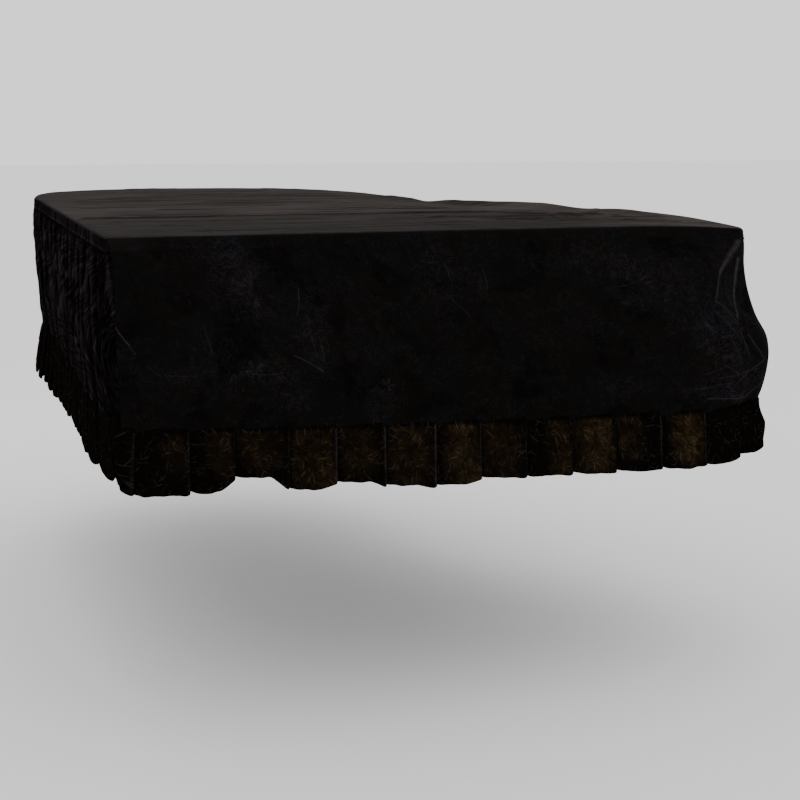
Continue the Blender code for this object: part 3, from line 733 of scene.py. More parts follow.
    lumps = cloth_noise(chain / 0.021, 0.5, 41) - 0.5 + 0.6 * (cloth_noise(chain / 0.009, 0.5, 42) - 0.5)
    ring_relief = np.zeros(rings.shape[:2]) + SHEET
    puckered = ease((rings[..., 1] - FRONT_Y - 0.46) / 0.06) * 0.75 + 0.25
    ring_relief += 0.0032 * puckered * lumps * ease((hem_depth[:, None] - 0.004) / 0.014)
    ring_relief += 0.0010 * ease((hem_depth[:, None] - BAND) / 0.0008)
    # Painted sheen on the crushed pile of the roll, and a painted highlight along the band's lower ridge
    # and its lumps
    ridge = ease((hem_depth[:, None] - BAND + 0.001) / 0.0015)
    ring_crushed = np.broadcast_to(0.15 + 0.85 * ridge, rings.shape[:2]) * (0.6 + 0.8 * lumps)
    ring_crest_highlight = np.broadcast_to(0.40 + 0.90 * ridge, rings.shape[:2]) * (0.8 + 0.8 * lumps)
    ring_u = np.broadcast_to(chain, rings.shape[:2])
    ring_v = np.broadcast_to(-hem_depth[:, None] - 2.0, rings.shape[:2])
    points = np.vstack([grid.reshape(-1, 3), rings.reshape(-1, 3)])
    uv = np.column_stack([
        np.concatenate([u.ravel(), ring_u.ravel()]),
        np.concatenate([v.ravel(), ring_v.ravel()]),
    ])
    none = np.zeros(rings[..., 0].size)
    shares = {
        "crushed": np.concatenate([crushed.ravel(), np.clip(ring_crushed, 0.0, 1.0).ravel()]),
        "top_sheen": np.concatenate([top_sheen.ravel(), none]),
        "front": np.concatenate([front_share.ravel(), none]),
        "crest_highlight": np.concatenate([np.zeros(number.size), np.clip(ring_crest_highlight, 0.0, 1.2).ravel()]),
    }
    relief = np.concatenate([relief.ravel(), ring_relief.ravel()])
    obj = cloth_object("velvet_top_and_drop", points, faces, uv, relief, shares, material)
    # The turned-down band takes the shaded copy of the velvet, so that it looks less lit
    obj.data.materials.append(turned_material)
    turned = np.zeros(len(faces), dtype=np.int32)
    turned[-(len(ring_faces) + (side_rows - ROLL_STEPS // 2) * (upper.shape[1] - 1)):] = 1
    obj.data.polygons.foreach_set("material_index", turned)
    return obj


def skirt_folds(start, end):
    """The gathered skirt's fold lines: distance along the outline, height share and drift of each."""
    count = round((end - start) / FOLD_PITCH)
    step = (end - start) / count
    k = np.arange(count + 1)
    edges = start + step * (k + FOLD_UNEVEN * (uneven(k, 1) - 0.5))
    edges[0] = start
    edges[-1] = end
    drift = FOLD_DRIFT * (2 * uneven(k, 2) - 1)
    height = LOWEST_FOLD + (1.0 - LOWEST_FOLD) * uneven(k, 3)
    drift[[0, -1]] = 0.0
    height[[0, -2]] = END_FOLD
    along, share, slide = [], [], []
    for i in range(count):
        for at, rise in FOLD_POINTS:
            along.append(edges[i] + at * (edges[i + 1] - edges[i]))
            share.append(rise * height[i])
            slide.append(drift[i] + at * (drift[i + 1] - drift[i]))
    return np.array(along + [end]), np.array(share + [0.0]), np.array(slide + [0.0])


def make_skirt(material):
    """The gathered side skirt, from the right front corner round the tail to the left front corner.

    A point goes out by the smooth curve through the main folds times their height at its depth, plus
    finer folds: crests of a noise that is stretched down the cloth.
    """
    start, end = RIGHT_CORNER - 0.001, LEFT_CORNER + ROUND + 0.001
    lines, share, slide = skirt_folds(start, end)
    along = np.linspace(start, end, SKIRT_COLUMNS)
    rise = smooth_through(along, lines, share)
    drift = smooth_through(along, lines, slide)
    down = np.concatenate([[-0.020, -0.006], np.linspace(0.004, 1.0, SKIRT_ROWS), [1.016]])[:, None]
    place = along[None, :] + drift[None, :] * np.clip(down, 0, 1)
    depth = BAND + down * (hang(place, 1) - BAND)
    main_height = smooth_through(np.clip(down, 0, 1), column(FOLD_HEIGHT, 0), column(FOLD_HEIGHT, 1))
    out = main_height * rise[None, :]
    hold = ease(np.minimum(place - start, end - place) / SEAM_HOLD)
    fine = np.zeros(out.shape)
    # Painted highlight on the crests, as a share of the lighter colour: on the main folds' crests, and
    # below on the fine folds' crests
    crest_highlight = 0.55 * ease((rise - 0.12) / 0.38)[None, :] + np.zeros(out.shape)
    for seed, (pitch, length, *heights) in enumerate(FINE_FOLDS, start=31):
        tall = np.interp(down, [0.0, 0.03, 0.5, 1.0], [0.2 * heights[0], *heights])
        sway = 0.9 * pitch * (cloth_noise(place / 0.09, depth / 0.16, seed + 9) - 0.5)
        noise = cloth_noise((place + sway) / pitch, depth / length + 3.0, seed)
        crest = (1.0 - np.abs(2.0 * noise - 1.0)) ** 2.5
        fine += tall * (crest - 0.3)
        crest_highlight += 0.55 * crest ** 1.5 - 0.08
    out = out + fine * hold
    out = np.where(down < 0, -0.0030, out)
    out[-1] -= 0.002
    points = wall(place, depth, out)
    number = np.arange(points[..., 0].size).reshape(points.shape[:2])
    small = 0.0009 * (crumples(place, depth, CRUMPLES) / 0.0013) * ease((down - 0.05) / 0.3)
    relief = SHEET + small * hold
    u = path_lengths(points, 1)
    uv = np.column_stack([u.ravel(), (5.0 - np.broadcast_to(depth, u.shape)).ravel()])
    # The painted highlight is kept off the seam and made weaker toward the bottom, as painted shade there
    crest_highlight = ease((crest_highlight - 0.45) / 0.66) * ease((down - 0.01) / 0.05) ** 0.5
    crest_highlight *= 1.0 - 0.4 * ease((down - 0.30) / 0.60)
    return cloth_object(
        "velvet_side_skirt",
        points.reshape(-1, 3),
        grid_faces(number),
        uv,
        relief.ravel(),
        {"crest_highlight": crest_highlight.ravel()},
        material,
    )


def pleat_stations():
    """Where each pleat starts along the outline, the hem's depth there, and the columns of its look."""
    half = LID_WIDTH / 2
    front = column(FRONT_PLEATS, 0) - PLEAT_LAP + half - LEFT_CORNER_RADIUS
    rest = ROUND - (front[-1] - front[0]) - PLEAT_PITCH
    count = round(rest / PLEAT_PITCH)
    k = np.arange(count)
    behind = front[-1] + PLEAT_PITCH + (k + PLEAT_UNEVEN * (uneven(k, 4) - 0.5)) * rest / count
    hem = hang(behind, 2) + HEM_UNEVEN * (2 * uneven(k, 5) - 1)
    guessed = [
        0.02 + 0.12 * uneven(k, 7),
        0.30 + 0.45 * uneven(k, 8),
        0.30 + 0.30 * uneven(k, 9),
        0.35 + 0.20 * uneven(k, 10),
        0.50 + 0.30 * uneven(k, 11),
        0.05 + 0.22 * uneven(k, 12),
    ]
    look = np.array([row[2:] for row in FRONT_PLEATS])
    return (
        np.concatenate([front, behind]),
        np.concatenate([column(FRONT_PLEATS, 1), hem]),
        np.vstack([look, np.stack(guessed, axis=-1)]),
    )


def sewn_pleat(width):
    """One pleat in plan as it is sewn: flat from under the last pleat, up onto it, and back under itself.

    columns: distance along, distance out
    """
    middle = 2 * PLEAT_LAYER - 0.0006
    outer = middle + 0.0009
    section = [
        (0.0, 0.0),
        (PLEAT_LAP + 0.003, 0.0),
        (0.55 * width, 0.6 * outer),
        (width + PLEAT_LAP, outer),
        (width + PLEAT_LAP, middle),
        (width, middle),
    ]
    return np.array(section)


def rounded(values):
    """Values round a ring, each blended with its two neighbours: a quarter, a half and a quarter."""
    return 0.25 * np.roll(values, 1, axis=-1) + 0.5 * values + 0.25 * np.roll(values, -1, axis=-1)


def spreading_creases(right, down, pleat):
    """Soft creases that spread from a place on each pleat: crests of noise round a circle about it."""
    away = np.hypot(right, down) + 1e-6
    turn = np.arctan2(down, right) / (2 * np.pi) + 0.5
    arms = 7.0
    low = np.floor(turn * arms) % arms
    high = (low + 1) % arms
    step = ease(turn * arms - np.floor(turn * arms))
    ring = away / 0.045
    near, far = (
        uneven(arm + 31.0 * pleat, 54) + 0.5 * (cloth_noise(ring + arm, pleat * 3.0, 55) - 0.5)
        for arm in (low, high)
    )
    crest = (1.0 - np.abs(2.0 * (near + (far - near) * step) - 1.0)) ** 2
    return crest * ease(away / 0.012) * ease(1.7 - away / 0.045)


def make_ruffle(material):
    """The pleated ruffle, a ring sewn to the lower edge of the front drop and the skirt.

    Each pleat's plan section turns from its sewn form at the seam into its open form at the hem.
    """
    starts, hems, look = pleat_stations()
    count = len(starts)
    widths = np.diff(np.append(starts, starts[0] + ROUND))
    opening = LEAST_OPENING + OPENING_RANGE * uneven(np.arange(count), 6)
    spine_share = ease((starts / ROUND - 0.70) / 0.12) * ease((1.02 - starts / ROUND) / 0.02)
    opening = opening * (1.0 - (1.0 - SPINE_OPENING) * spine_share)
    knots = np.concatenate([[0], np.cumsum(PLEAT_STEPS)])
    fine = np.arange(knots[-1])
    i = np.repeat(np.arange(count), len(fine))

    def round_ring(corner_values, step):
        """Six corner values of every pleat, and the first of the next, as values at every column."""
        after = np.roll(corner_values[:, 0], -1)
        after[-1] += step
        closed = np.column_stack([corner_values, after])
        return np.stack([np.interp(fine, knots, row) for row in closed]).ravel()

    sewn = np.stack([sewn_pleat(w) for w in widths])
    hanging = np.stack([
        column(HANGING_PLEAT, 0)[None] * widths[:, None],
        column(HANGING_PLEAT, 1)[None] * opening[:, None],
    ], axis=-1)
    steps = (1.0 - 0.7 * spine_share)[:, None]
    wave = round_ring(np.tile(column(HANGING_PLEAT, 2), (count, 1)) * steps, 0.0)
    hem_line = np.column_stack([hems, np.roll(hems, -1)])
    rows = np.concatenate([[-0.045], np.linspace(0.0, 1.0, RUFFLE_ROWS)])
    points, alongs, depths = [], [], []
    for down in rows:
        opened = max(down, 0.0) ** PLEAT_OPENING
        section = sewn + (hanging - sewn) * opened
        along = round_ring(starts[:, None] + section[..., 0], ROUND)
        out = round_ring(section[..., 1], 0.0)
        shift = ROUND * np.arange(along.size) / along.size
        for _ in range(2):
            along = rounded(along - shift) + shift
            out = rounded(out)
        beside = (along - starts[i]) / widths[i]
        hem_here = hem_line[i, 0] + (hem_line[i, 1] - hem_line[i, 0]) * ease((beside - 0.70) / 0.42)
        frill = 0.007 * (cloth_noise(along / 0.045, 0.5, 66) - 0.5)
        frill += 0.004 * (cloth_noise(along / 0.016, 0.5, 67) - 0.5)
        seam = hang(along, 1) + 0.0005
        depth = seam + down * (hem_here + wave + frill - seam)
        flare = hang(along, 4) * 2.0 * ease(0.5 * max(down, 0.0) ** FLARE_OPENING)
        tuck = -0.0035 if down < 0 else 0.0
        points.append(wall(along, depth, out + flare + tuck))
        alongs.append(along)
        depths.append(depth - seam)
    points = np.stack(points)
    hem_row = points[-1]
    turned = []
    _, outward = on_edge(alongs[-1])
    for lift, within in [(-0.0012, 0.0012), (0.0004, 0.0024), (HEM_TURN, 0.0026)]:
        row = hem_row.copy()
        row[:, :2] -= outward * within
        row[:, 2] += lift
        turned.append(row)
    points = np.concatenate([points, np.stack(turned)])
    along = np.stack(alongs)
    depth = np.stack(depths)
    across = along - starts[i][None]

    light, oval_across, oval_down, oval_wide, oval_high, crest_highlight = look[i].T[:, None, :]
    wide = widths[i][None]
    tall = (hem_line[i, 0] - hang(alongs[0], 1))[None]
    clear_left = ease((across - PLEAT_LAP + 0.001) / 0.005)
    clear_right = ease((wide + 0.007 - across) / 0.006)
    facing = np.isin(np.tile(fine, count), np.arange(knots[0], knots[3]))[None]
    right = across - PLEAT_LAP - oval_across * wide
    down = depth - oval_down * tall
    oval = ease(1.35 - np.hypot(right / (oval_wide * wide), down / (oval_high * tall)))
    blot = cloth_noise(along / 0.024, depth / 0.024, 61)
    # Painted light: a share of the golden glow, where light from behind would come through the single
    # layer
    single = clear_left * clear_right * facing * ease((depth - 0.001) / 0.004)
    single = single * light * oval * (0.45 + 0.8 * blot)

    creases = spreading_creases(right, down, i[None]) * clear_left * clear_right * ease(depth / 0.02)
    relief = 0.0026 * creases
    relief = relief + (crumples(along, depth, CRUMPLES)) * ease(depth / 0.02)
    relief = relief + 0.0016 * (cloth_noise(along / 0.022, depth / 0.05, 63) - 0.5) * ease(depth / 0.03)
    # Painted highlight along each pleat's folded edge
    fold = np.roll(crest_highlight.reshape(count, -1)[:, 0], -1)[i][None]
    by_fold = ease(1.0 - np.abs(np.tile(fine, count) - knots[3])[None] / 1.3)
    fold_light = fold * by_fold * ease((depth + 0.004) / 0.010)
    fold_light = fold_light * (0.5 + 0.7 * cloth_noise(along / 0.05, depth / 0.020, 68))

    def with_hem(values, kept):
        """The rows of a value with the three rows of the turned-up hem below, by a share of the last."""
        return np.vstack([values] + [values[-1:] * share for share in kept]).ravel()

    number = np.arange(points[..., 0].size).reshape(points.shape[:2])
    v = 8.0 - np.vstack([depth, depth[-1:] + 0.001, depth[-1:] + 0.003, depth[-1:] + 0.012])
    uv = np.column_stack([with_hem(along, (1.0, 1.0, 1.0)), v.ravel()])
    shares = {
        "single": with_hem(single, (0.5, 0.0, 0.0)),
        "fold light": with_hem(fold_light, (1.0, 0.0, 0.0)),
        "right of middle": with_hem(right, (1.0, 1.0, 1.0)),
        "below middle": with_hem(down, (1.0, 1.0, 1.0)),
    }
    return cloth_object(
        "velvet_ruffle",
        points.reshape(-1, 3),
        grid_faces(number, closed=True),
        uv,
        with_hem(relief, (0.6, 0.2, 0.0)) + SHEET,
        shares,
        material,
    )


def add_node(tree, kind, settings=None, links=None):
    """Add a node with its settings. Each of its inputs in links takes a value, a socket, or the first
    output of a node."""
    node = tree.nodes.new(kind)
    for name, value in (settings or {}).items():
        setattr(node, name, value)
    for name, value in (links or {}).items():
        if isinstance(value, bpy.types.Node):
            value = value.outputs[0]
        if isinstance(value, bpy.types.NodeSocket):
            tree.links.new(value, node.inputs[name])
        else:
            node.inputs[name].default_value = value
    return node


def stroke_marks(tree, place, pitch, length, width, lean=None):
    """Short straight marks, one in each cell of a random net: an ellipse about the cell's point. It lies
    within some scatter of the angle lean, or else of one that drifts slowly from place to place, so
    that neighbours are nearly side by side. The sizes are in metres."""
    cells = add_node(
        tree, "ShaderNodeTexVoronoi", {"voronoi_dimensions": "2D"}, {"Vector": place, "Scale": 1.0 / pitch}
    )
    local = add_node(
        tree, "ShaderNodeVectorMath", {"operation": "SUBTRACT"}, {0: place, 1: cells.outputs["Position"]}
    )
    random = add_node(tree, "ShaderNodeSeparateColor", None, {"Color": cells.outputs["Color"]})
    if lean is None:
        drift = add_node(
            tree,
            "ShaderNodeTexNoise",
            {"noise_dimensions": "2D"},
            {"Vector": cells.outputs["Position"], "Scale": 1.0 / MARK_TURN, "Detail": 0.0},
        )
        lean = add_node(tree, "ShaderNodeMath", {"operation": "MULTIPLY"}, {0: drift, 1: 4 * np.pi})
    angle = add_node(
        tree, "ShaderNodeMath", {"operation": "MULTIPLY_ADD"}, {0: random, 1: MARK_SCATTER, 2: lean}
    )
    turned = add_node(
        tree, "ShaderNodeVectorRotate", {"rotation_type": "Z_AXIS"}, {"Vector": local, "Angle": angle}
    )
    shaped = add_node(
        tree,
        "ShaderNodeVectorMath",
        {"operation": "MULTIPLY"},
        {0: turned, 1: (2.0 / length, 2.0 / width, 0.0)},
    )
    away = add_node(tree, "ShaderNodeVectorMath", {"operation": "LENGTH"}, {0: shaped})
    inside = add_node(
        tree,
        "ShaderNodeMapRange",
        {"interpolation_type": "SMOOTHSTEP"},
        {"Value": away.outputs["Value"], "From Min": 1.0, "From Max": 0.3},
    )
    return add_node(
        tree, "ShaderNodeMath", {"operation": "MULTIPLY"}, {0: inside, 1: random.outputs["Green"]}
    )


def noise_share(tree, place, pitch, low, high, detail=3.0, distortion=0.0):
    """Noise of that pitch in metres, spread between its low and high values to a share of 0 to 1."""
    noise = add_node(
        tree,
        "ShaderNodeTexNoise",
        {"noise_dimensions": "2D"},
        {
            "Vector": place,
            "Scale": 1.0 / pitch,
            "Detail": detail,
            "Roughness": 0.6,
            "Distortion": distortion,
        },
    )
    return add_node(
        tree,
        "ShaderNodeMapRange",
        {"interpolation_type": "SMOOTHSTEP"},
        {"Value": noise, "From Min": low, "From Max": high},
    )


def crossings(tree, noise, thin):
    """Thin lines where a noise crosses its middle value: high within that distance of it."""
    beside = add_node(tree, "ShaderNodeMath", {"operation": "PINGPONG"}, {0: noise, 1: 0.5})
    return add_node(
        tree,
        "ShaderNodeMapRange",
        {"interpolation_type": "SMOOTHSTEP"},
        {"Value": beside, "From Min": 0.5 - thin, "From Max": 0.5},
    )


def wandering_lines(tree, place, pitch, thin):
    """Thin curved lines in every direction, as crushed pile keeps them."""
    noise = add_node(
        tree,
        "ShaderNodeTexNoise",
        {"noise_dimensions": "2D"},
        {"Vector": place, "Scale": 1.0 / pitch, "Detail": 0.0, "Distortion": 0.5},
    )
    return crossings(tree, noise, thin)


def spreading_lines(tree, away, ring, arms, thin):
    """Thin lines that spread from a middle, where away is the place from it and ring turns them slowly
    with distance: crossings of a noise that is read round a circle."""
    direction = add_node(tree, "ShaderNodeVectorMath", {"operation": "NORMALIZE"}, {0: away})
    wide = add_node(
        tree, "ShaderNodeVectorMath", {"operation": "SCALE"}, {0: direction, "Scale": arms / (2 * np.pi)}
    )
    level = add_node(tree, "ShaderNodeCombineXYZ", None, {"Z": ring})
    circle = add_node(tree, "ShaderNodeVectorMath", {"operation": "ADD"}, {0: wide, 1: level})
    noise = add_node(
        tree,
        "ShaderNodeTexNoise",
        {"noise_dimensions": "3D"},
        {"Vector": circle, "Scale": 1.0, "Detail": 1.0},
    )
    return crossings(tree, noise, thin)


def crease_line(tree, place, line):
    """One of the CREASE_LINES: how near a place lies to the straight line between its ends."""
    x0, d0, x1, d1, half_width, brightness = line
    run = np.array([x1 - x0, d1 - d0, 0.0])
    local = add_node(tree, "ShaderNodeVectorMath", {"operation": "SUBTRACT"}, {0: place, 1: (x0, d0, 0.0)})
    along = add_node(
        tree, "ShaderNodeVectorMath", {"operation": "DOT_PRODUCT"}, {0: local, 1: tuple(run / (run @ run))}
    )
    share = add_node(tree, "ShaderNodeClamp", None, {"Value": along.outputs["Value"]})
    nearest = add_node(
        tree, "ShaderNodeVectorMath", {"operation": "SCALE"}, {0: tuple(run), "Scale": share}
    )
    away = add_node(tree, "ShaderNodeVectorMath", {"operation": "DISTANCE"}, {0: local, 1: nearest})
    return add_node(
        tree,
        "ShaderNodeMapRange",
        {"interpolation_type": "SMOOTHSTEP"},
        {"Value": away.outputs["Value"], "From Min": half_width, "From Max": 0.0, "To Max": brightness},
    )


def crease_fan(tree, place, fan):
    """One of the CREASE_FANS: lines that spread from its place and fade at its reach."""
    x, depth, reach, brightness = fan
    local = add_node(
        tree, "ShaderNodeVectorMath", {"operation": "SUBTRACT"}, {0: place, 1: (x, depth, 0.0)}
    )
    away = add_node(tree, "ShaderNodeVectorMath", {"operation": "LENGTH"}, {0: local})
    ring = add_node(
        tree,
        "ShaderNodeMath",
        {"operation": "MULTIPLY_ADD"},
        {0: away.outputs["Value"], 1: 1.0 / FAN_TURN, 2: 40.0 * x + 90.0 * depth},
    )
    lines = spreading_lines(tree, local, ring, FAN_ARMS, 0.07)
    near = add_node(
        tree,
        "ShaderNodeMapRange",
        {"interpolation_type": "SMOOTHSTEP"},
        {"Value": away.outputs["Value"], "From Min": reach, "From Max": 0.3 * reach, "To Max": brightness},
    )
    return add_node(tree, "ShaderNodeMath", {"operation": "MULTIPLY"}, {0: lines, 1: near})


def drop_creases(tree):
    """All the creases placed on the front drop, as painted highlights along them, read from the piece's
    own X and depth, with a slight waver."""
    spot = add_node(tree, "ShaderNodeTexCoord").outputs["Object"]
    split = add_node(tree, "ShaderNodeSeparateXYZ", None, {0: spot})
    depth = add_node(
        tree, "ShaderNodeMath", {"operation": "MULTIPLY"}, {0: split.outputs["Z"], 1: -1.0}
    )
    flat = add_node(tree, "ShaderNodeCombineXYZ", None, {"X": split, "Y": depth})
    waver = add_node(
        tree,
        "ShaderNodeTexNoise",
        {"noise_dimensions": "2D"},
        {"Vector": flat, "Scale": 1.0 / CREASE_WAVER, "Detail": 1.0},
    )
    moved = add_node(
        tree,
        "ShaderNodeVectorMath",
        {"operation": "MULTIPLY_ADD"},
        {
            0: waver.outputs["Color"],
            1: (CREASE_SHIFT, CREASE_SHIFT, 0.0),
            2: (-CREASE_SHIFT / 2, -CREASE_SHIFT / 2, 0.0),
        },
    )
    place = add_node(tree, "ShaderNodeVectorMath", {"operation": "ADD"}, {0: flat, 1: moved})
    total = add_node(tree, "ShaderNodeMath", {"operation": "MULTIPLY"}, {0: 0.0, 1: 0.0})
    parts = [crease_line(tree, place, line) for line in CREASE_LINES]
    patchy = noise_share(tree, flat, 0.040, 0.38, 0.60, 1.0)
    parts += [weighed(tree, patchy, [(crease_fan(tree, place, fan), 1.0), 0.0]) for fan in CREASE_FANS]
    for part in parts:
        total = add_node(tree, "ShaderNodeMath", {"operation": "MAXIMUM"}, {0: total, 1: part})
    return total


def laid_over(tree, colour, layers):
    """A colour with others laid over it in turn, each by its own share."""
    for share, over in layers:
        mix = add_node(tree, "ShaderNodeMix", {"data_type": "RGBA"}, {0: share, 7: (*over, 1.0)})
        if isinstance(colour, bpy.types.NodeSocket):
            tree.links.new(colour, mix.inputs[6])
        else:
            mix.inputs[6].default_value = (*colour, 1.0)
        colour = mix.outputs[2]
    return colour


def weighed(tree, first, weights):
    """A share times the sum of some others, each with its weight, and a plain number last."""
    total = weights[-1]
    for share, weight in weights[:-1]:
        total = add_node(
            tree, "ShaderNodeMath", {"operation": "MULTIPLY_ADD"}, {0: share, 1: weight, 2: total}
        )
    return add_node(tree, "ShaderNodeMath", {"operation": "MULTIPLY"}, {0: first, 1: total})


def velvet_shader(name, settings, sheen, gloss):
    """A material whose Principled shader has velvet's dull face and its light edge, and its tree."""
    material = bpy.data.materials.new(name)
    material.use_nodes = True
    tree = material.node_tree
    shader = tree.nodes["Principled BSDF"]
    shader.inputs["Roughness"].default_value = 0.9
    shader.inputs["Metallic"].default_value = 0.0
    shader.inputs["IOR"].default_value = 1.45
    shader.inputs["Specular IOR Level"].default_value = gloss
    shader.inputs["Sheen Weight"].default_value = sheen
    shader.inputs["Sheen Roughness"].default_value = settings.sheen_roughness
    shader.inputs["Sheen Tint"].default_value = (*settings.sheen_colour, 1.0)
    return material, tree, shader


def crushed_velvet(settings):
    """Black polyester velvet, knitted, dyed and crushed.

    The pile swallows light face on and lights up at grazing angles, so the top looks grey and the
    front nearly black, a little warmer in some places than in others. Bluish patches where it is
    crushed, its fine bright marks and the light lines of sharper creases are painted sheen and painted
    highlights. The top's colour carries a painted sheen from the light above, lighter behind the crease
    and in long streaks across it, and random patches of the front drop are painted darker as shade.
    """
    material, tree, shader = velvet_shader(
        "crushed polyester velvet, black", settings, settings.sheen, settings.gloss
    )
    place = add_node(tree, "ShaderNodeUVMap", {"uv_map": "cut cloth"})
    crushed, top_sheen, front = (
        add_node(tree, "ShaderNodeAttribute", {"attribute_name": name}).outputs["Fac"]
        for name in ("crushed", "top_sheen", "front")
    )
    cooler = noise_share(tree, place, 0.110, 0.40, 0.62, 2.0, 0.5)
    patches = noise_share(tree, place, 0.060, 0.40, 0.62, 4.0, 1.2)
    mottle = noise_share(tree, place, 0.014, 0.35, 0.72, 4.0, 0.8)
    cluster = noise_share(tree, place, 0.075, 0.46, 0.60, 2.0, 0.5)
    # Patches of crushed pile, their sheen painted as a lighter colour
    cloud = weighed(tree, mottle, [(patches, 0.28), (crushed, 0.42), 0.0])
    # Random patches of the front drop painted darker with the painted shade colour
    deep = noise_share(tree, place, 0.140, 0.44, 0.60, 2.0, 0.4)
    # Fine marks of the crushed pile, painted as light lines where they catch the light
    fine = stroke_marks(tree, place, 0.0075, 0.0105, 0.0016)
    longer = stroke_marks(tree, place, 0.0170, 0.0230, 0.0022)
    thin = weighed(tree, wandering_lines(tree, place, 0.022, 0.035), [0.20])
    marks = add_node(tree, "ShaderNodeMath", {"operation": "MAXIMUM"}, {0: fine, 1: longer})
    marks = add_node(tree, "ShaderNodeMath", {"operation": "MAXIMUM"}, {0: marks, 1: thin})
    marks = weighed(tree, marks, [(crushed, 0.50), (cluster, 0.26), 0.03])
    # Long streaks of the top's painted sheen across it, also raised in the bump
    streaked = add_node(
        tree, "ShaderNodeVectorMath", {"operation": "MULTIPLY"}, {0: place, 1: (STREAK_DRAW, 1.0, 1.0)}
    )
    streaks = noise_share(tree, streaked, 0.040, 0.36, 0.64, 3.0)
    streaks = weighed(tree, streaks, [(front, -1.0), 1.0])
    # Painted highlights along the creases of the front drop
    creases = weighed(tree, drop_creases(tree), [(front, 0.75), 0.0])
    lit_creases = weighed(tree, creases, [(mottle, 0.6), 0.7])
    colour = laid_over(
        tree,
        settings.pile,
        [
            (weighed(tree, deep, [(front, 0.75), 0.0]), settings.painted_shade_pile),
            (cooler, settings.cool_pile),
            (cloud, settings.crushed_sheen_pile),
            (marks, settings.mark_highlight_pile),
            (lit_creases, settings.crease_highlight_pile),
            # Painted sheen of the top, in its streaks
            (weighed(tree, top_sheen, [(streaks, 0.9), 0.55]), settings.top_sheen_pile),
        ],
    )
    tree.links.new(colour, shader.inputs["Base Color"])
    height = weighed(tree, 1.0, [(mottle, 0.6), (marks, 1.0), (creases, 1.5), (streaks, 3.0), 0.0])
    bump = add_node(tree, "ShaderNodeBump", None, {"Strength": 0.3, "Distance": 0.0010, "Height": height})
    tree.links.new(bump.outputs[0], shader.inputs["Normal"])
    return material


def gathered_velvet(settings, name):
    """The same velvet as a shaded copy, for the hanging gathers and the turned-down band: it shows less of
    the pile's light edge and no gloss, so that these faces look less lit.

    The gaps between the folds are black with painted shade, and the crests are lighter with painted
    highlights.
    """
    # Shaded copy: a weak light edge and no gloss, so that it looks less lit
    material, tree, shader = velvet_shader(name, settings, settings.shaded_sheen, 0.0)
    place = add_node(tree, "ShaderNodeUVMap", {"uv_map": "cut cloth"})
    crest_highlight = add_node(tree, "ShaderNodeAttribute", {"attribute_name": "crest_highlight"}).outputs["Fac"]
    mottle = noise_share(tree, place, 0.014, 0.30, 0.72, 4.0, 0.8)
    marks = stroke_marks(tree, place, 0.0160, 0.0200, 0.0030)
    drawn = add_node(
        tree, "ShaderNodeVectorMath", {"operation": "MULTIPLY"}, {0: place, 1: (1.0, GATHER_DRAW, 1.0)}
    )
    gathers = wandering_lines(tree, drawn, 0.042, 0.085)
    threads = wandering_lines(tree, drawn, 0.017, 0.11)
    # Painted highlights on the crests of the gathers and of finer vertical threads, laid over the painted
    # shade of the gaps
    crest = weighed(tree, crest_highlight, [(mottle, 0.3), (gathers, 0.8), 0.12])
    colour = laid_over(
        tree,
        settings.painted_shade_pile,
        [
            (crest, settings.crest_highlight_pile),
            (weighed(tree, gathers, [(crest_highlight, 0.6), 0.20]), settings.crest_highlight_pile),
            (weighed(tree, threads, [(crest_highlight, 0.5), 0.14]), settings.crest_highlight_pile),
            (weighed(tree, marks, [(crest_highlight, 0.14), 0.0]), settings.mark_highlight_pile),
        ],
    )
    tree.links.new(colour, shader.inputs["Base Color"])
    height = weighed(tree, 1.0, [(mottle, 0.6), (threads, 1.0), (marks, 0.3), 0.0])
    bump = add_node(tree, "ShaderNodeBump", None, {"Strength": 0.3, "Distance": 0.0010, "Height": height})
    tree.links.new(bump.outputs[0], shader.inputs["Normal"])
    return material


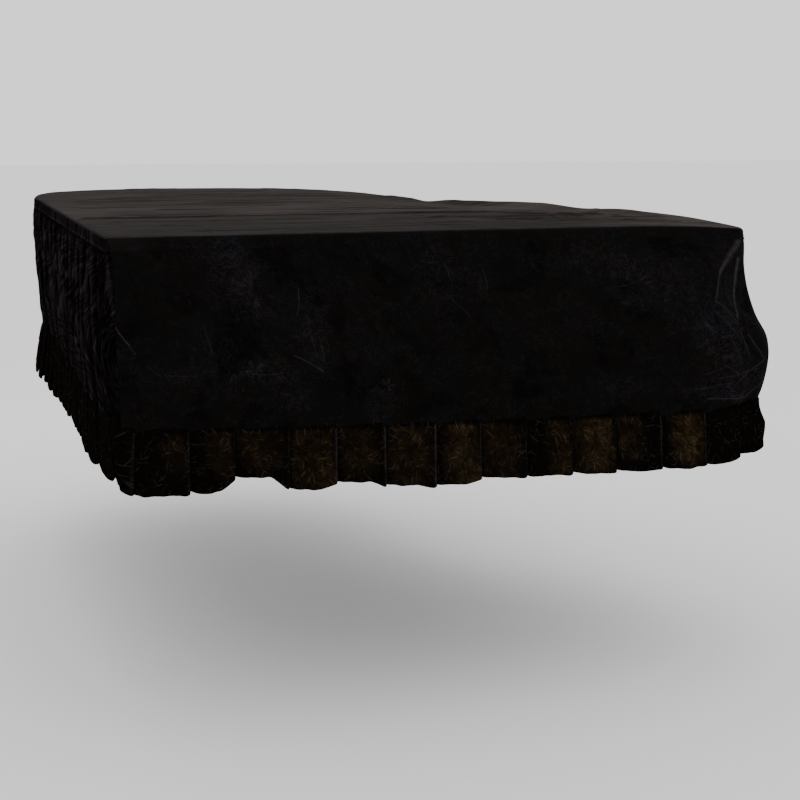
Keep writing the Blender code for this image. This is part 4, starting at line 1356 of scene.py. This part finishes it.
def single_velvet(settings):
    """The same velvet in one thin layer, as the ruffle has it.

    Light from behind that would come through the knit between the pleats is painted into the colour as
    a golden brown glow, and the doubled folds stay black but for painted highlights along their edges.
    Crinkles spread over each panel as painted thin light and dark lines.
    """
    # Shaded copy: a weak light edge and no gloss, so that it looks less lit
    material, tree, shader = velvet_shader(
        "crushed polyester velvet, single layer", settings, settings.shaded_sheen, 0.0
    )
    place = add_node(tree, "ShaderNodeUVMap", {"uv_map": "cut cloth"})
    single, fold_light, right, below = (
        add_node(tree, "ShaderNodeAttribute", {"attribute_name": name}).outputs["Fac"]
        for name in ("single", "fold light", "right of middle", "below middle")
    )
    mottle = noise_share(tree, place, 0.012, 0.30, 0.70, 3.0, 0.3)
    patchy = noise_share(tree, place, 0.030, 0.40, 0.62, 2.0, 0.0)
    outward = add_node(tree, "ShaderNodeMath", {"operation": "ARCTAN2"}, {0: below, 1: right})
    outward = add_node(
        tree, "ShaderNodeMath", {"operation": "ADD"}, {0: outward, 1: -0.5 * MARK_SCATTER}
    )
    ribs = stroke_marks(tree, place, 0.0200, 0.0460, 0.0034, outward)
    crinkles = stroke_marks(tree, place, 0.0130, 0.0280, 0.0026)
    lines = add_node(tree, "ShaderNodeMath", {"operation": "MAXIMUM"}, {0: ribs, 1: crinkles})
    lines = weighed(tree, lines, [(patchy, 1.1), 0.15])
    aside = add_node(tree, "ShaderNodeVectorMath", {"operation": "ADD"}, {0: place, 1: (0.0, 3.0, 0.0)})
    # Painted shade along the crinkles' dark lines
    dark_lines = stroke_marks(tree, aside, 0.0170, 0.0400, 0.0050)
    # Painted glow of the light through the single layer, and painted highlights of the crinkles
    glow = weighed(tree, single, [(mottle, 0.50), (patchy, 0.35), 0.20])
    dark = weighed(tree, dark_lines, [(mottle, 0.5), 0.60])
    bright = weighed(tree, lines, [(single, 0.80), 0.0])
    cool = weighed(tree, lines, [(single, -0.5), 0.50])
    colour = laid_over(
        tree,
        settings.thin_pile,
        [
            (glow, settings.light_through),
            (dark, settings.thin_pile),
            (cool, settings.mark_highlight_pile),
            (bright, settings.bright_through),
            # Painted highlight along the pleats' folded edges
            (weighed(tree, fold_light, [(mottle, 0.6), 0.5]), settings.fold_highlight_pile),
        ],
    )
    tree.links.new(colour, shader.inputs["Base Color"])
    height = weighed(tree, 1.0, [(mottle, 0.5), (lines, 0.8), (dark_lines, -0.8), 0.0])
    bump = add_node(tree, "ShaderNodeBump", None, {"Strength": 0.4, "Distance": 0.0010, "Height": height})
    tree.links.new(bump.outputs[0], shader.inputs["Normal"])
    return material


def studio_paint(settings):
    """Matt studio paint, rolled on a floor: an even pale ground that takes a soft shadow."""
    material = bpy.data.materials.new("matt studio paint, pale")
    material.use_nodes = True
    shader = material.node_tree.nodes["Principled BSDF"]
    shader.inputs["Base Color"].default_value = (*settings.floor_colour, 1.0)
    shader.inputs["Roughness"].default_value = 0.95
    shader.inputs["Specular IOR Level"].default_value = 0.1
    return material


def colour_property(name, description, hex_colour):
    """A colour that a user may change, with its default."""
    return FloatVectorProperty(
        name=name, description=description, subtype="COLOR", default=linear(hex_colour)
    )


class VelvetSettings(bpy.types.PropertyGroup):
    """Colours and sheen of the velvet."""
    pile: colour_property("Pile", "Colour of the pile face on", "#0b0906")
    cool_pile: colour_property("Cooler pile", "Colour of the pile in its cooler places", "#0a0909")
    # Painted sheen of the crushed pile's patches
    crushed_sheen_pile: colour_property("Crushed sheen", "Colour where the pile lies flat", "#17151a")
    # Painted highlights of the fine marks, on every piece
    mark_highlight_pile: colour_property("Mark highlight", "Colour of the fine marks", "#262329")
    # Painted highlights along the sharper creases
    crease_highlight_pile: colour_property("Crease highlight", "Colour along the sharper creases", "#2c2829")
    # Painted sheen: the lighter colour of the top
    top_sheen_pile: colour_property("Top sheen", "Colour behind the crease across the top", "#3a3431")
    # Painted shade: the black of the gaps between the gathers, also laid in patches on the front drop
    painted_shade_pile: colour_property("Painted shade", "Colour in the gaps between the gathers", "#040304")
    # Painted highlight on the crests of the gathers and along the band's ridge
    crest_highlight_pile: colour_property("Crest highlight", "Colour along the crests of the gathers", "#262123")
    thin_pile: colour_property("Ruffle", "Colour of the ruffle where it is doubled", "#070503")
    # Painted highlight along the pleats' folded edges
    fold_highlight_pile: colour_property("Pleat edge highlight", "Colour along the pleats' folded edges", "#2a2626")
    # Painted light: the glow of light through a single layer and the crinkles lit in it
    light_through: colour_property("Light through", "Colour of a single layer lit from behind", "#231b11")
    bright_through: colour_property("Bright crinkle", "Colour of a crinkle in a single layer", "#3c3122")
    sheen_colour: colour_property("Sheen colour", "Colour of the pile's light edge", "#eedfd8")
    sheen: FloatProperty(
        name="Sheen", description="Strength of the pile's light edge", default=0.017, min=0.0, max=1.0,
        subtype="FACTOR",
    )
    # A weaker light edge for the shaded copy of the velvet, on the gathers, the band and the ruffle
    shaded_sheen: FloatProperty(
        name="Shaded sheen", description="The same on the shaded copy", default=0.003, min=0.0,
        max=1.0, subtype="FACTOR",
    )
    sheen_roughness: FloatProperty(
        name="Sheen roughness", description="How far the light edge spreads", default=0.18, min=0.0,
        max=1.0, subtype="FACTOR",
    )
    gloss: FloatProperty(
        name="Gloss", description="Reflection of the fibres themselves", default=0.02, min=0.0, max=1.0,
        subtype="FACTOR",
    )


class StudioSettings(bpy.types.PropertyGroup):
    """Floor and light of the studio."""
    floor_colour: colour_property("Floor", "Colour of the floor", "#f4f4f4")
    air: FloatProperty(
        name="Surroundings", description="Strength of the even white light", default=1.3, min=0.0
    )
    key_power: FloatProperty(
        name="Overhead light", description="Power of the large overhead light", default=14.0, min=0.0,
        unit="POWER",
    )
    tail_power: FloatProperty(
        name="Tail light", description="Power of the light behind the tail", default=6.0, min=0.0,
        unit="POWER",
    )
    floor_size: FloatProperty(
        name="Floor size", description="Side of the square floor", default=60.0, min=5.0, unit="LENGTH"
    )


def dress(obj, node):
    """Make a cloth piece ride on the body and stand for its plain node."""
    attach(obj, "root")
    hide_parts(node)


class COVER_OT_top_and_drop(bpy.types.Operator):
    """Build the top, which is cut in one with the front drop"""
    bl_idname = "cover.top_and_drop"
    bl_label = "Top and front drop"

    def execute(self, context):
        settings = context.scene.cover_velvet
        turned = gathered_velvet(settings, "crushed polyester velvet, turned down")
        obj = make_top_and_drop(crushed_velvet(settings), turned)
        dress(obj, "top_and_front_drop")
        return {"FINISHED"}


class COVER_OT_side_skirt(bpy.types.Operator):
    """Build the gathered skirt round the sides and the tail"""
    bl_idname = "cover.side_skirt"
    bl_label = "Side skirt"

    def execute(self, context):
        obj = make_skirt(gathered_velvet(context.scene.cover_velvet, "crushed polyester velvet, gathered"))
        dress(obj, "side_skirt")
        return {"FINISHED"}


class COVER_OT_ruffle(bpy.types.Operator):
    """Build the pleated ruffle round the lower edge"""
    bl_idname = "cover.ruffle"
    bl_label = "Pleated ruffle"

    def execute(self, context):
        obj = make_ruffle(single_velvet(context.scene.cover_velvet))
        dress(obj, "pleated_ruffle")
        return {"FINISHED"}


class COVER_OT_studio(bpy.types.Operator):
    """Build the floor, the lights and the camera"""
    bl_idname = "cover.studio"
    bl_label = "Studio"

    def execute(self, context):
        settings = context.scene.cover_studio
        half = settings.floor_size / 2
        corners = [(-half, -half), (half, -half), (half, half), (-half, half)]
        mesh = bpy.data.meshes.new("studio_floor")
        mesh.from_pydata([(x, y, FLOOR_Z) for x, y in corners], [], [(0, 1, 2, 3)])
        mesh.materials.append(studio_paint(settings))
        floor = bpy.data.objects.new("studio_floor", mesh)
        context.scene.collection.objects.link(floor)

        world = bpy.data.worlds.new("even white light")
        world.use_nodes = True
        world.node_tree.nodes["Background"].inputs["Color"].default_value = (1.0, 1.0, 1.0, 1.0)
        world.node_tree.nodes["Background"].inputs["Strength"].default_value = settings.air
        context.scene.world = world
        add_light(context, "overhead_light", (-0.2, 1.6, 2.6), (0.0, 0.3, 0.0), 3.0, settings.key_power)
        add_light(context, "tail_light", (-0.2, 2.3, 1.5), (0.0, 0.5, 0.0), 1.6, settings.tail_power)
        add_camera(context)
        return {"FINISHED"}


def add_light(context, name, place, target, size, power):
    """A square area light at a place, facing a target."""
    lamp = bpy.data.lights.new(name, "AREA")
    lamp.shape = "SQUARE"
    lamp.size = size
    lamp.energy = power
    light = bpy.data.objects.new(name, lamp)
    away = np.array(place) - np.array(target)
    away /= np.linalg.norm(away)
    across = np.cross([0.0, 0.0, 1.0], away)
    across /= np.linalg.norm(across)
    light.matrix_world = axes_matrix(across, np.cross(away, across), away, place)
    context.scene.collection.objects.link(light)


def axes_matrix(right, up, back, place):
    """A placement from its three axes and its place."""
    return Matrix([[right[i], up[i], back[i], place[i]] for i in range(3)] + [[0.0, 0.0, 0.0, 1.0]])


def add_camera(context):
    """The camera, at the angle from which the cover is seen."""
    turn, tilt, roll = np.radians([EYE_TURN, EYE_TILT, EYE_ROLL])
    ahead = np.array([np.sin(turn) * np.cos(tilt), np.cos(turn) * np.cos(tilt), -np.sin(tilt)])
    level = np.array([np.cos(turn), -np.sin(turn), 0.0])
    upright = np.cross(level, ahead)
    right = np.cos(roll) * level + np.sin(roll) * upright
    up = np.cos(roll) * upright - np.sin(roll) * level
    data = bpy.data.cameras.new("camera")
    data.sensor_width = 36.0
    data.lens = LENS_MM
    data.shift_x, data.shift_y = SHIFT
    data.clip_end = 200.0
    camera = bpy.data.objects.new("camera", data)
    camera.matrix_world = axes_matrix(right, up, -ahead, EYE)
    context.scene.collection.objects.link(camera)
    context.scene.camera = camera


class COVER_PT_panel(bpy.types.Panel):
    """Lists the cover's pieces and their settings"""
    bl_idname = "COVER_PT_panel"
    bl_label = "Grand piano cover"
    bl_space_type = "VIEW_3D"
    bl_region_type = "UI"
    bl_category = "Cover"

    def draw(self, context):
        layout = self.layout
        for kind in (COVER_OT_studio, COVER_OT_top_and_drop, COVER_OT_side_skirt, COVER_OT_ruffle):
            layout.operator(kind.bl_idname)
        for group in (context.scene.cover_velvet, context.scene.cover_studio):
            for name in group.__annotations__:
                layout.prop(group, name)


CLASSES = [
    VelvetSettings,
    StudioSettings,
    COVER_OT_studio,
    COVER_OT_top_and_drop,
    COVER_OT_side_skirt,
    COVER_OT_ruffle,
    COVER_PT_panel,
]


def register():
    for kind in CLASSES:
        bpy.utils.register_class(kind)
    bpy.types.Scene.cover_velvet = PointerProperty(type=VelvetSettings)
    bpy.types.Scene.cover_studio = PointerProperty(type=StudioSettings)


def unregister():
    del bpy.types.Scene.cover_studio
    del bpy.types.Scene.cover_velvet
    for kind in reversed(CLASSES):
        bpy.utils.unregister_class(kind)


def main():
    register()
    bpy.ops.cover.studio()
    bpy.ops.cover.top_and_drop()
    bpy.ops.cover.side_skirt()
    bpy.ops.cover.ruffle()


if __name__ == "__main__":
    main()
